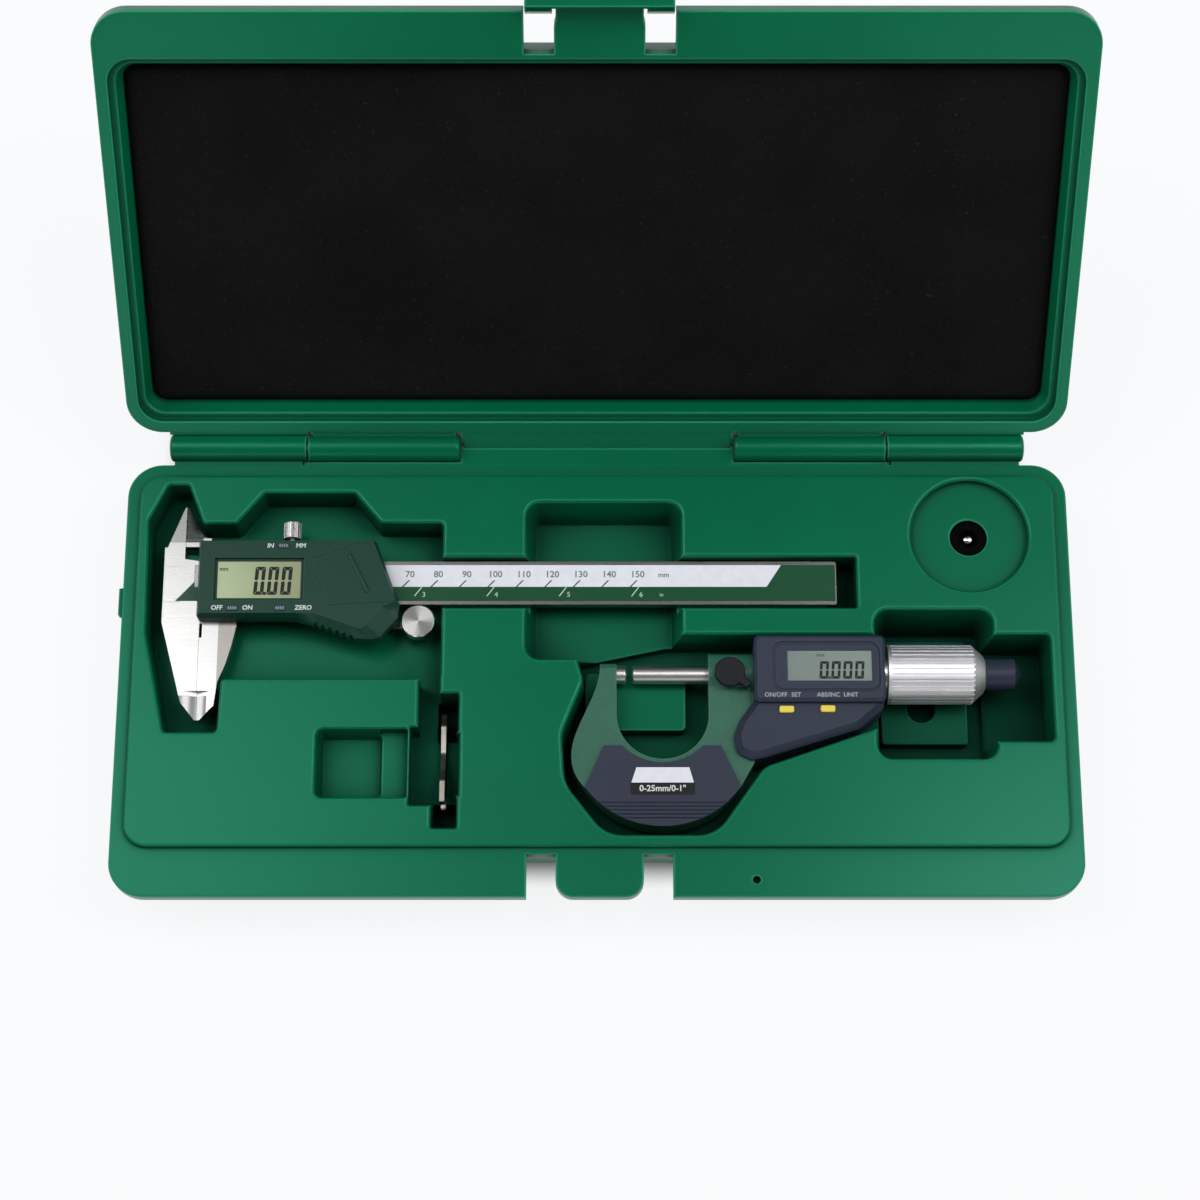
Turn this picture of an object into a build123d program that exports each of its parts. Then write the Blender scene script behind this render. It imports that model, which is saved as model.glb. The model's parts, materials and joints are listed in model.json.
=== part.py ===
from build123d import *
import math
import os

# A hinged, latched plastic case with its contents: a digital caliper, a digital outside micrometer,
# the micrometer's spanner and a ball attachment, each in its own recess of the tray.
# Millimetres, +Z up, +Y towards the hinges. The origin lies on the face the case stands on,
# under the middle of the case's outline. Every piece is drawn with the lid standing open.

# ---------------------------------------------------------------- case: driving dimensions
case_width = 332.0
case_depth = 156.0
case_corner = 12.0
parting_z = 28.0          # height at which lid and base meet
lid_height = 20.0
rim_thick = 5.0           # thickness of the flange round both halves
rim_overhang = 2.5        # how far the flange stands out from the walls, sides and back
flange_front = 16.0       # the same at the front, where the latch is
wall_draft = 3.0          # degrees
bottom_radius = 5.0
ledge_width = 4.6         # flat of the rim that the lid closes on
front_ledge = 17.0
plateau_height = 2.0      # the tray stands this much above the ledge
plateau_corner = 8.0
lid_open = 130.0          # degrees from closed to the open rest position
half_width = case_width / 2
half_depth = case_depth / 2
plateau_z = parting_z + plateau_height
recess_edge = 0.8         # bevel of the tray's edges round the recesses

# ---------------------------------------------------------------- hinges
hinge_offset = 6.5        # axis behind the rear edge of the rim
barrel_radius = 4.95
barrel_end_radius = 1.5
base_barrel_outer = 151.6
base_barrel_inner = 103.1
lid_barrel_outer = 102.4
lid_barrel_inner = 48.5
hinge_pin_radius = 1.5
running_clearance = 0.05
leaf_gap = 0.1            # half of the space between the two halves of the hinge
hinge_strip_half = 48.2
strip_edge = 0.05         # from the strips' edges to the axis
cradle_gap = 0.4          # round the other half's barrel
cradle_tip = 3.4          # from the cradle's thin edge to the axis
hinge_strip_thick = 3.4
barrel_end_wall = 3.5     # plastic that closes the outer end of the bore
hinge_y = half_depth + hinge_offset

# ---------------------------------------------------------------- latch
latch_x = 1.0
notch_inner = 15.0
notch_outer = 25.0
notch_depth = 14.8
tongue_corner = 6.0
clasp_barrel_radius = 3.5
clasp_pin_radius = 1.0
clasp_forward = 1.5       # pin in front of the tongue's edge
clasp_side_gap = 0.6
clasp_thick = 3.0
clasp_face_gap = 1.0      # between the clasp and the barrel it hangs on
clasp_lip_reach = 4.0     # lip behind the tongue's edge
clasp_lip_thick = 2.5
clasp_lip_gap = 0.3
clasp_open = 40.0         # degrees that the clasp hangs out at rest
clasp_y = -half_depth - clasp_forward
clasp_z = parting_z + clasp_barrel_radius

# ---------------------------------------------------------------- lid lining
foam_depth = 6.5          # face of the foam above the parting plane, lid closed
foam_thick = 9.5
foam_inset = 8.6
foam_corner = 5.0
foam_clearance = 0.3
groove_depth = 2.6        # step in the lid that takes the raised tray
groove_width = 1.8

# ---------------------------------------------------------------- tray recesses
seat_gap = 0.3            # space under what lies in the tray
deep_floor = 10.0
caliper_floor = 16.0
finger_floor = 14.0
thimble_floor = 5.5       # round the thimble's seat
ratchet_floor = 7.0
slot_floor = 6.0          # under the spanner's ends
hollow_floor = 16.0       # finger hollow across the middle of the spanner
pocket_floor = 21.5
pocket_step_floor = 25.0
dish_radius = 20.7
dish_depth = 3.5
dish_from_side = 34.9     # middle of the dish to the case's right edge
dish_from_back = 26.9     # and to its rear edge
dish_x = half_width - dish_from_side
dish_y = half_depth - dish_from_back
recess_corner = 1.6
small_corner = 0.8        # in the narrow slots and channels
recess_draft = 2.5        # degrees, of the tools' recesses
finger_draft = 12.0       # of the finger recesses
thimble_draft = 7.0
pocket_draft = 14.0
beam_room_front = 2.3     # from the beam's edges to the walls of its channel
beam_room_back = 0.7
beam_room_end = 6.8
beam_end_room = 3.0       # the well under the beam's end starts this far under the beam
beam_end_floor = 13.0
finger_left = -24.9       # the cross recess for the fingers that lift both tools
finger_right = 29.7
finger_front = 5.6
finger_back = 63.4
finger_corner = 5.0
thimble_room_left = 3.1   # from the end of the micrometer's housing
thimble_room_end = 2.7    # past the thimble's end
thimble_room_front = 32.3
thimble_room_back = 21.6
ratchet_room_left = 0.7   # before the thimble's end
ratchet_room_end = 10.0   # past the ratchet's end
ratchet_room_front = 26.1
ratchet_room_back = 12.5
ratchet_room_corner = 2.0
seat_from_housing = 0.2   # the thimble's raised seat, from the end of the housing
seat_to_end = 5.3         # from the seat to the thimble's end
seat_front = 22.2
seat_back = 15.3
well_x = 113.0            # round well in the thimble's seat, from the anvil arm
well_y = -9.5
well_radius = 5.0
pocket_left = -96.6       # pocket for small loose parts, with a step on its right
pocket_right = -73.0
pocket_front = -43.7
pocket_back = -19.4
pocket_corner = 2.6
step_left = -75.0
step_right = -65.0
vent_x = 54.3
vent_from_front = 5.9
vent_radius = 1.35
vent_depth = 3.5
lug_y = 27.5              # small lug on the left end of the rim
lug_radius = 5.0
lug_reach = 1.6
lug_drop = 1.5

# ---------------------------------------------------------------- caliper
caliper_x = -152.3        # left end of the beam
caliper_y = 34.55         # middle of the beam
caliper_z = 26.2          # front face of the beam
beam_length = 236.4
beam_width = 15.9
beam_thick = 3.5
jaw_width = 13.3          # fixed jaw, from the beam's end to its measuring face
jaw_tip = -49.7
jaw_gap = 0.05
knife_x = 7.3
knife_top = 28.2
knife_rise = 2.7          # thickness of the moving knife jaw at its measuring edge
milled_depth = 0.1        # of the channel in the beam's left end
slide_clearance = 0.1
scale_width = 13.3
scale_thick = 0.3
scale_start = 4.4
scale_end_gap = 0.4       # bare steel at the beam's right end
scale_end = beam_length - scale_end_gap
rod_width = 3.6
rod_groove_depth = 1.6
rod_start = 62.0
slider_end = 82.0
rail_width = 4.4
slider_front = 1.5
slider_back = 2.4
housing_top = 7.6
housing_base = 0.3
housing_bevel = 3.2       # height of the sloped band round the slider's cover
display_thick = 0.8
display_depth = 1.2       # of the glass under the cover's top
display_left = 19.9
display_right = 48.9
display_front = -7.7
display_back = 5.7
battery_x = 66.0
battery_y = -0.2
battery_radius = 5.8
battery_thick = 3.6
cover_thick = 1.6
roller_radius = 5.9
roller_x = 89.8
roller_gap = 0.4
roller_top = 1.0
roller_axle_radius = 1.2
lock_screw_x = 44.7
lock_screw_radius = 3.2
lock_screw_start = 16.1   # underside of its head, from the beam's middle
lock_screw_length = 6.4
lock_shank_radius = 1.25
button_radius = 0.95
button_length = 4.2
button_clearance = 0.12
button_rise = 0.35
thumb_serrations = 6
serration_radius = 0.65
serration_start = 54.4
serration_step = 2.5
cover_corner_x = 52.5
cover_corner_y = 6.4
cover_side = 17.8         # left side of the battery cover
cover_front_rise = 1.8    # of its lower edge, from left to right
ridge_length = 15.9       # thumb ridge on the battery cover
ridge_width = 1.8
ridge_height = 0.55
ridge_turn = -63.4
cover_turn = 20.0         # degrees of the battery cover's sides to the beam

# ---------------------------------------------------------------- micrometer
mic_x = 1.1               # outer face of the anvil arm
mic_y = 2.2
mic_z = 21.5              # spindle axis
frame_thick = 9.0
spindle_radius = 3.25
anvil_tip = 9.1
spindle_tip = 11.4
arm_end_radius = 3.9      # rounded end that holds the anvil
bay_radius = 16.0
bay_left = 5.7
bay_depth = -15.4
boss_radius = 7.2
plate_thick = 1.2
label_thick = 0.3
mic_housing_left = 53.3
mic_housing_right = 98.7
mic_housing_front = 11.6
mic_housing_back = 11.2
mic_housing_top = 11.3
mic_housing_bottom = -12.6
wing_front = 8.8
wing_bevel = 2.4          # broad bevel round the wing
mic_button_top = 9.7
mic_glass_left = 64.8
mic_glass_right = 94.0
mic_glass_depth = 1.4     # the glass's lower face under the housing's front
thimble_radius = 10.35
thimble_start = 100.0
thimble_end = 134.3
thimble_ribs = 34
thimble_socket = 2.8      # depth of the seat that takes the thimble's edge as the jaws close
thimble_socket_gap = 0.35
sleeve_radius = 7.2
sleeve_wall = 3.4
sleeve_start = 78.0
sleeve_end = 122.0
ratchet_radius = 5.55
ratchet_end = 146.7
ratchet_stub_radius = 2.0
spindle_short = 2.5       # spindle ends this far inside the thimble's closed end
lever_x = 45.0
lever_y = -1.5
lever_radius = 5.2
lever_thick = 2.5
cap_x = 70.5
cap_y = 0.8
cap_radius = 7.0
cap_thick = 1.5
rotor_x = 60.0
rotor_radius = 8.0
rotor_thick = 2.0

# ---------------------------------------------------------------- spanner and ball attachment
spanner_x = -53.2
spanner_y = -27.5         # middle of its length
spanner_low = 11.3        # lower edge of the spanner as it stands in its groove
spanner_length = 33.8
spanner_height = 14.0
spanner_thick = 1.7
ball_radius = 2.5
holder_radius = 6.3
holder_dimple = 3.4       # radius of the dimple's mouth
ball_drop = 0.7           # top of the ball under the holder's rim
holder_bore_depth = 4.5
holder_height = 12.0
holder_clearance = 0.3


# ---------------------------------------------------------------- helpers
def span(x0, x1, y0, y1, corner=0.0):
    """Rectangle in plan between two corners."""
    width, depth = x1 - x0, y1 - y0
    shape = RectangleRounded(width, depth, corner) if corner else Rectangle(width, depth)
    return Pos((x0 + x1) / 2, (y0 + y1) / 2) * shape


def slab(shape, z0, z1, draft=0.0):
    """Plan shape drawn at z0 and pulled to z1, narrowing by the draft."""
    return extrude(Pos(0, 0, z0) * shape, amount=z1 - z0, dir=(0, 0, 1), taper=draft)


def filled(points, radius=0.0):
    """Closed outline with rounded corners, as a face."""
    if not radius:
        return make_face(Polyline(*points, close=True))
    return make_face(FilletPolyline(*points, radius=radius, close=True))


def across(shape, x0, x1):
    """Profile drawn in Y and Z, pulled along X."""
    plane = Plane(origin=(x0, 0, 0), x_dir=(0, 1, 0), z_dir=(1, 0, 0))
    return extrude(plane * shape, amount=x1 - x0)


def rod_x(radius, x0, x1, y, z):
    """Round bar along X."""
    return across(Pos(y, z) * Circle(radius), x0, x1)


def rod_z(radius, x, y, z0, z1):
    """Round bar along Z."""
    return slab(Pos(x, y) * Circle(radius), z0, z1)


def edges_at(part, z, inside=None):
    """Edges of a part that lie in the plane at height z, kept when their middle is inside a box."""
    flat = [e for e in part.edges() if abs(e.bounding_box().min.Z - z) < 1e-4
            and abs(e.bounding_box().max.Z - z) < 1e-4]
    if inside is None:
        return flat
    x0, x1, y0, y1 = inside
    return [e for e in flat if x0 < (e @ 0.5).X < x1 and y0 < (e @ 0.5).Y < y1]


# ---------------------------------------------------------------- case
def rim_outline():
    return span(-half_width, half_width, -half_depth, half_depth, case_corner)


def latch_notches():
    """Two slots through the front flange; the tongue between them takes the clasp."""
    cutter = Sketch()
    for side in (-1, 1):
        x0, x1 = sorted((latch_x + side * notch_inner, latch_x + side * notch_outer))
        cutter += span(x0, x1, -half_depth - 1, -half_depth + notch_depth)
        corner = latch_x + side * (notch_inner - tongue_corner)
        square = Pos(corner + side * tongue_corner / 2, -half_depth + tongue_corner / 2)
        round_off = square * Rectangle(tongue_corner, tongue_corner)
        round_off -= Pos(corner, -half_depth + tongue_corner) * Circle(tongue_corner)
        cutter += round_off
    return cutter


def walls(z_rim, z_end):
    """Drafted block of one half of the case, from the parting plane to its far face."""
    plan = span(-half_width + rim_overhang, half_width - rim_overhang,
                -half_depth + flange_front, half_depth - rim_overhang, case_corner - rim_overhang)
    block = slab(plan, z_rim, z_end, wall_draft)
    return fillet(edges_at(block, z_end), bottom_radius)


def barrel(inner, outer, side, z0, z1, round_outer):
    """Hinge barrel with the web that carries it, its bore open at the inner end."""
    x0, x1 = sorted((side * inner, side * outer))
    knuckle = rod_x(barrel_radius, x0, x1, hinge_y, parting_z)
    ends = [e for e in knuckle.edges() if e.geom_type == GeomType.CIRCLE]
    if round_outer:
        ends = [e for e in ends if abs(abs(e.center().X) - outer) < 0.01]
    else:
        ends = [e for e in ends if abs(abs(e.center().X) - inner) < 0.01]
    knuckle = fillet(ends, barrel_end_radius)
    web = across(span(half_depth - 2, hinge_y, z0, z1), x0 + barrel_end_radius, x1 - barrel_end_radius)
    return knuckle + web


def cradle(inner, outer, side, z0, z1):
    """Block beside the other half's barrel, hollowed to run round it."""
    x0, x1 = sorted((side * inner, side * outer))
    block = across(span(half_depth - 2, hinge_y - cradle_tip, z0, z1), x0, x1)
    return block - rod_x(barrel_radius + cradle_gap, x0 - 1, x1 + 1, hinge_y, parting_z)


def hinge_bores(part, inner, outer):
    for side in (-1, 1):
        x0, x1 = sorted((side * inner, side * outer))
        part -= rod_x(hinge_pin_radius + running_clearance, x0, x1, hinge_y, parting_z)
    return part


def caliper_recess():
    """Outline of the caliper's recess, with the jaw notch and finger room over and under the slider."""
    jaw_notch = [(22.2, -36.0), (21.2, -55.2), (2.9, -55.2), (-4.9, -19.0), (-5.6, 22.4)]
    knife_notch = [(0.8, 35.5), (7.9, 35.5), (13.6, 20.9), (25.3, 20.9)]
    finger_lobe = [(34.9, 32.5), (66.7, 32.5), (76.2, 21.2)]
    right_end = [(98.2, 21.2), (98.2, -36.0)]
    outline = filled(knife_notch + finger_lobe + right_end + jaw_notch, recess_corner)
    return Pos(caliper_x, caliper_y) * outline


def micrometer_recess():
    """Outline of the micrometer's recess: the bow on the left, the wing's slope on the right."""
    anvil_end = [(-8.7, 5.8), (-5.7, -4.2)]
    bow = [(-13.3, -23.2), (-12.3, -40.7), (1.9, -59.1), (39.4, -59.1), (56.4, -35.2)]
    housing = [(99.2, -20.2), (99.2, 12.5), (22.9, 12.5)]
    corners = [2, 6, 9, 14, 12, 12, 7, 1, 1, 1]
    return Pos(mic_x, mic_y) * filled(anvil_end + bow + housing, corners)


def spanner_recesses():
    """The spanner's slot at both ends, the hollow between them and the channel to the caliper's recess."""
    rear_slot = span(-2.2, 5.5, 6.6, 20.9, small_corner)
    front_slot = span(-3.5, 5.3, -27.0, -15.6, small_corner)
    hollow = span(-11.3, -1.1, -19.0, 8.8, small_corner)
    right_hollow = span(-2.2, 5.9, -15.6, 6.6)
    channel = span(-8.4, -1.1, 5.0, 28.0, small_corner)
    place = Pos(spanner_x, spanner_y)
    return [(place * channel, caliper_floor), (place * hollow, hollow_floor),
            (place * right_hollow, hollow_floor), (place * rear_slot, slot_floor), (place * front_slot, slot_floor)]


def tray_recesses():
    """Every recess of the tray as (plan shape, floor height, draft of its walls)."""
    beam_floor = caliper_z - beam_thick - seat_gap
    beam_front = caliper_y - beam_width / 2 - beam_room_front
    beam_back = caliper_y + beam_width / 2 + beam_room_back
    beam_end = caliper_x + beam_length
    beam_channel = span(spanner_x - 2.8, beam_end + beam_room_end, beam_front, beam_back, small_corner)
    end_well = span(beam_end - beam_end_room, beam_end + beam_room_end, beam_front, beam_back, small_corner)
    thimble_room = span(mic_housing_right - thimble_room_left, thimble_end + thimble_room_end,
                        -thimble_room_front, thimble_room_back, finger_corner)
    ratchet_room = span(thimble_end - ratchet_room_left, ratchet_end + ratchet_room_end,
                        -ratchet_room_front, ratchet_room_back, ratchet_room_corner)
    mic_place = Pos(mic_x, mic_y)
    dish_place = Pos(dish_x, dish_y)
    dish_floor = plateau_z - dish_depth
    finger_room = span(finger_left, finger_right, finger_front, finger_back, finger_corner)
    pocket = span(pocket_left, pocket_right, pocket_front, pocket_back, pocket_corner)
    return [
        (caliper_recess(), caliper_floor, recess_draft),
        (beam_channel, beam_floor, 0),
        (end_well, beam_end_floor, 0),
        (finger_room, finger_floor, finger_draft),
        (micrometer_recess(), deep_floor, recess_draft),
        (mic_place * thimble_room, thimble_floor, thimble_draft),
        (mic_place * ratchet_room, ratchet_floor, recess_draft),
        *[(shape, floor, 0) for shape, floor in spanner_recesses()],
        (pocket, pocket_floor, pocket_draft),
        (span(step_left, step_right, pocket_front, pocket_back, small_corner), pocket_step_floor, 0),
        (dish_place * Circle(dish_radius), dish_floor, 0),
        (dish_place * Circle(holder_radius + holder_clearance), dish_floor - holder_height, 0),
    ]


def cut_recess(tray, shape, floor, draft):
    """Takes one recess out of the tray: its room down to the floor and the bevel round its mouth."""
    bevel_z = plateau_z - recess_edge
    if draft:
        tray -= extrude(Pos(0, 0, bevel_z) * shape, amount=bevel_z - floor, dir=(0, 0, -1), taper=draft)
    else:
        tray -= slab(shape, floor, bevel_z)
    return tray - slab(shape, bevel_z, plateau_z + 0.2, -45)


def tray_rests():
    """Raised seats inside the recesses: under the slider, the fixed jaw, the micrometer's bow and thimble."""
    slider_back_z = caliper_z - beam_thick - slide_clearance - slider_back
    jaw_back_z = caliper_z - beam_thick
    frame_back_z = mic_z - frame_thick / 2
    slider_rest = span(caliper_x + 18, caliper_x + 76, caliper_y - 11.5, caliper_y + 11.5, 1.5)
    jaw_rest = span(caliper_x + 2.5, caliper_x + 11.5, caliper_y - 16, caliper_y + 11.5, 1.0)
    bow_rest = span(-4.0, 30.9, -16.5, 4.0, 1.5)
    seat_x0, seat_x1 = mic_x + mic_housing_right + seat_from_housing, mic_x + thimble_end - seat_to_end
    thimble_seat = span(seat_x0, seat_x1, mic_y - seat_front, mic_y + seat_back, 1.0)
    thimble_seat -= Pos(mic_x + well_x, mic_y + well_y) * Circle(well_radius)
    seat_top = mic_z - thimble_radius - seat_gap
    return [
        slab(thimble_seat, thimble_floor, seat_top),
        slab(slider_rest, caliper_floor, slider_back_z - seat_gap),
        slab(jaw_rest, caliper_floor, jaw_back_z - seat_gap),
        slab(bow_rest, deep_floor, frame_back_z - seat_gap),
    ]


def base_tray():
    tray = walls(parting_z, 0) + slab(rim_outline(), parting_z - rim_thick, parting_z)
    plateau = span(-half_width + ledge_width, half_width - ledge_width,
                   -half_depth + front_ledge, half_depth - ledge_width, plateau_corner)
    raised = slab(plateau, parting_z, plateau_z)
    tray += fillet(edges_at(raised, plateau_z), recess_edge)
    tray -= slab(latch_notches(), parting_z - rim_thick - 1, parting_z + 1)
    web_top = parting_z - leaf_gap
    for side in (-1, 1):
        tray += barrel(base_barrel_inner, base_barrel_outer, side, parting_z - rim_thick, web_top, True)
        tray += cradle(hinge_strip_half, base_barrel_inner, side, parting_z - rim_thick, web_top)
    strip = span(half_depth - 2, hinge_y - strip_edge, parting_z - hinge_strip_thick, web_top)
    tray += across(strip, -hinge_strip_half, hinge_strip_half)
    tray = hinge_bores(tray, base_barrel_inner - 1, base_barrel_outer - barrel_end_wall)
    lug = Pos(-half_width, lug_y) * (Circle(lug_radius) & Rectangle(2 * lug_reach, 2 * lug_radius))
    tray += slab(lug, parting_z - rim_thick, parting_z - lug_drop)
    for shape, floor, draft in tray_recesses():
        tray = cut_recess(tray, shape, floor, draft)
    for rest in tray_rests():
        tray += rest
    groove_y0 = spanner_y - spanner_length / 2 - seat_gap
    groove_y1 = spanner_y + spanner_length / 2 + seat_gap
    groove_half = spanner_thick / 2 + 0.25
    groove = span(spanner_x - groove_half, spanner_x + groove_half, groove_y0, groove_y1)
    tray -= slab(groove, spanner_low - seat_gap, hollow_floor + 1)
    tray -= rod_z(vent_radius, vent_x, -half_depth + vent_from_front, parting_z - vent_depth, parting_z + 1)
    return tray


def swing_open(part):
    """Turns a piece drawn on the closed lid to the lid's rest position."""
    return Pos(0, hinge_y, parting_z) * Rot(-lid_open, 0, 0) * Pos(0, -hinge_y, -parting_z) * part


def swing_clasp(part):
    """Turns the hooked clasp out to its rest position on the closed lid."""
    return Pos(0, clasp_y, clasp_z) * Rot(-clasp_open, 0, 0) * Pos(0, -clasp_y, -clasp_z) * part


def lid_cavity_plan(inset, corner):
    front = flange_front + (inset - ledge_width)
    side = half_width - inset
    return span(-side, side, -half_depth + front + 1.0, half_depth - inset, corner)


def lid_shell():
    lid = walls(parting_z, parting_z + lid_height) + slab(rim_outline(), parting_z, parting_z + rim_thick)
    step = lid_cavity_plan(ledge_width - 0.4, plateau_corner + 0.4)
    lid -= slab(step, parting_z - 1, parting_z + groove_depth)
    slope = loft(Sketch() + [
        Pos(0, 0, parting_z + groove_depth) * lid_cavity_plan(ledge_width + groove_width, plateau_corner - 1),
        Pos(0, 0, parting_z + foam_depth) * lid_cavity_plan(foam_inset - foam_clearance, foam_corner + 0.3)])
    lid -= slope
    ceiling = parting_z + foam_depth + foam_thick
    lid -= slab(lid_cavity_plan(foam_inset - foam_clearance, foam_corner + 0.3),
                parting_z + foam_depth, ceiling)
    lid -= slab(latch_notches(), parting_z - 1, parting_z + rim_thick + 1)
    web_bottom = parting_z + leaf_gap
    for side in (-1, 1):
        lid += barrel(lid_barrel_inner, lid_barrel_outer, side, web_bottom, parting_z + rim_thick - 0.2, False)
        lid += cradle(lid_barrel_outer, base_barrel_outer, side, web_bottom, parting_z + rim_thick)
    strip = span(half_depth - 2, hinge_y - strip_edge, web_bottom, parting_z + hinge_strip_thick)
    lid += across(strip, -hinge_strip_half, hinge_strip_half)
    lid = hinge_bores(lid, lid_barrel_inner - 1, lid_barrel_outer + 1)
    half = notch_inner - clasp_side_gap
    knuckle = rod_x(clasp_barrel_radius, latch_x - half, latch_x + half, clasp_y, clasp_z)
    root = across(span(clasp_y, -half_depth + tongue_corner + 1, parting_z, parting_z + rim_thick),
                  latch_x - half, latch_x + half)
    lid += knuckle + root
    lid -= rod_x(clasp_pin_radius, latch_x - half - 1, latch_x + half + 1, clasp_y, clasp_z)
    return swing_open(lid)


def lid_foam():
    low = parting_z + foam_depth
    return swing_open(slab(lid_cavity_plan(foam_inset, foam_corner), low, low + foam_thick))


def hinge_pins():
    pins = Part()
    for side in (-1, 1):
        x0, x1 = sorted((side * (lid_barrel_inner + 0.5), side * (base_barrel_outer - barrel_end_wall)))
        pins += rod_x(hinge_pin_radius, x0, x1, hinge_y, parting_z)
    return pins


def clasp_parts():
    half = notch_outer - clasp_side_gap
    inner = notch_inner + clasp_side_gap
    face = clasp_y - clasp_barrel_radius - clasp_face_gap
    lip_top = parting_z - rim_thick - clasp_lip_gap
    lip_bottom = lip_top - clasp_lip_thick
    lip_back = -half_depth + clasp_lip_reach
    crown = clasp_z + clasp_barrel_radius
    arm = filled([(face - clasp_thick, lip_bottom), (lip_back, lip_bottom), (lip_back, lip_top + 2.0),
                  (clasp_y + clasp_barrel_radius, clasp_z), (clasp_y, crown), (face - clasp_thick + 1.5, crown),
                  (face - clasp_thick, crown - 1.5)])
    arm += Pos(clasp_y, clasp_z) * Circle(clasp_barrel_radius)
    plate = filled([(face - clasp_thick - 2.2, lip_bottom - 1.0), (face - clasp_thick + 0.3, lip_bottom - 1.0),
                    (face + 1.0, lip_bottom), (lip_back, lip_bottom), (lip_back, lip_top - 0.6),
                    (lip_back - 0.6, lip_top), (face, lip_top), (face, crown - 1.0),
                    (face - clasp_thick + 1.5, crown), (face - clasp_thick, crown - 1.5),
                    (face - clasp_thick, parting_z - 3.0)])
    clasp = across(plate, latch_x - inner - 0.2, latch_x + inner + 0.2)
    for side in (-1, 1):
        x0, x1 = sorted((latch_x + side * inner, latch_x + side * half))
        clasp += across(arm, x0, x1)
    reach = half + 1
    clasp -= rod_x(clasp_pin_radius + running_clearance, latch_x - reach, latch_x + reach, clasp_y, clasp_z)
    pin = rod_x(clasp_pin_radius, latch_x - half + 0.5, latch_x + half - 0.5, clasp_y, clasp_z)
    return swing_open(swing_clasp(clasp)), swing_open(pin)


# ---------------------------------------------------------------- caliper, drawn from the beam's left end
def set_caliper(part):
    return Pos(caliper_x, caliper_y, caliper_z) * part


def jaw_relief(x0, x1):
    """Wedge that thins a jaw towards its measuring face near the tip; x1 is the face."""
    depth = 1.7
    wedge = filled([(x0, 0.5), (x0, 0.0), (x1, -depth), (x1, 0.5)])
    plane = Plane(origin=(0, -39.5, 0), x_dir=(1, 0, 0), z_dir=(0, -1, 0))
    return extrude(plane * wedge, amount=20)


def caliper_beam():
    half = beam_width / 2
    jaw = filled([(0, 13.2), (0, -14.5), (3.2, -26.5), (7.8, -43.6), (jaw_width - 0.6, jaw_tip),
                  (jaw_width, jaw_tip), (jaw_width, half), (knife_x - 0.05, half + 1),
                  (knife_x - 0.05, 13.2)])
    bar = span(jaw_width - 2, beam_length, -half, half)
    beam = slab(jaw + bar, -beam_thick, 0)
    knife = filled([(0.9, 13.0), (knife_x - 0.05, 13.0), (knife_x - 0.05, knife_top), (knife_x - 0.6, knife_top)])
    beam += slab(knife, -1.7, 0)
    beam -= slab(span(-1, scale_start + 1.5, -7.0, 6.2), -milled_depth, 1)
    end_edges = [e for e in beam.edges() if abs((e @ 0.5).X - beam_length) < 0.01
                 and abs(abs((e @ 0.5).Y) - half) < 0.01]
    beam = chamfer(end_edges, 0.6)
    beam -= jaw_relief(jaw_width - 4.6, jaw_width + 0.01)
    beam -= slab(scale_outline(), -scale_thick, 1)
    beam -= slab(span(24, beam_length + 1, -rod_width / 2 - 0.2, rod_width / 2 + 0.2),
                 -beam_thick - 1, -beam_thick + rod_groove_depth)
    return set_caliper(beam)


def scale_outline():
    half = scale_width / 2
    return filled([(scale_start, -half), (scale_end, -half), (scale_end, half), (scale_start + 6.5, half),
                   (scale_start + 6.5, 0.4)])


def caliper_scale():
    return set_caliper(slab(scale_outline(), -scale_thick, 0))


def caliper_depth_rod():
    z0 = -beam_thick - slide_clearance
    rod = span(rod_start, beam_length - 0.2, -rod_width / 2, rod_width / 2)
    return set_caliper(slab(rod, z0, -beam_thick + rod_groove_depth - 0.3))


def knife_slope(low):
    """What is ground off the moving knife jaw, which thins away from the fixed one."""
    x0, x1 = knife_x, jaw_width
    slope = filled([(x0 - 1, low + knife_rise + 0.5), (x1 + 2, low - 0.6), (x1 + 2, low + 5), (x0 - 1, low + 5)])
    plane = Plane(origin=(0, knife_top + 1, 0), x_dir=(1, 0, 0), z_dir=(0, -1, 0))
    return extrude(plane * slope, amount=knife_top - 16.0)


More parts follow.
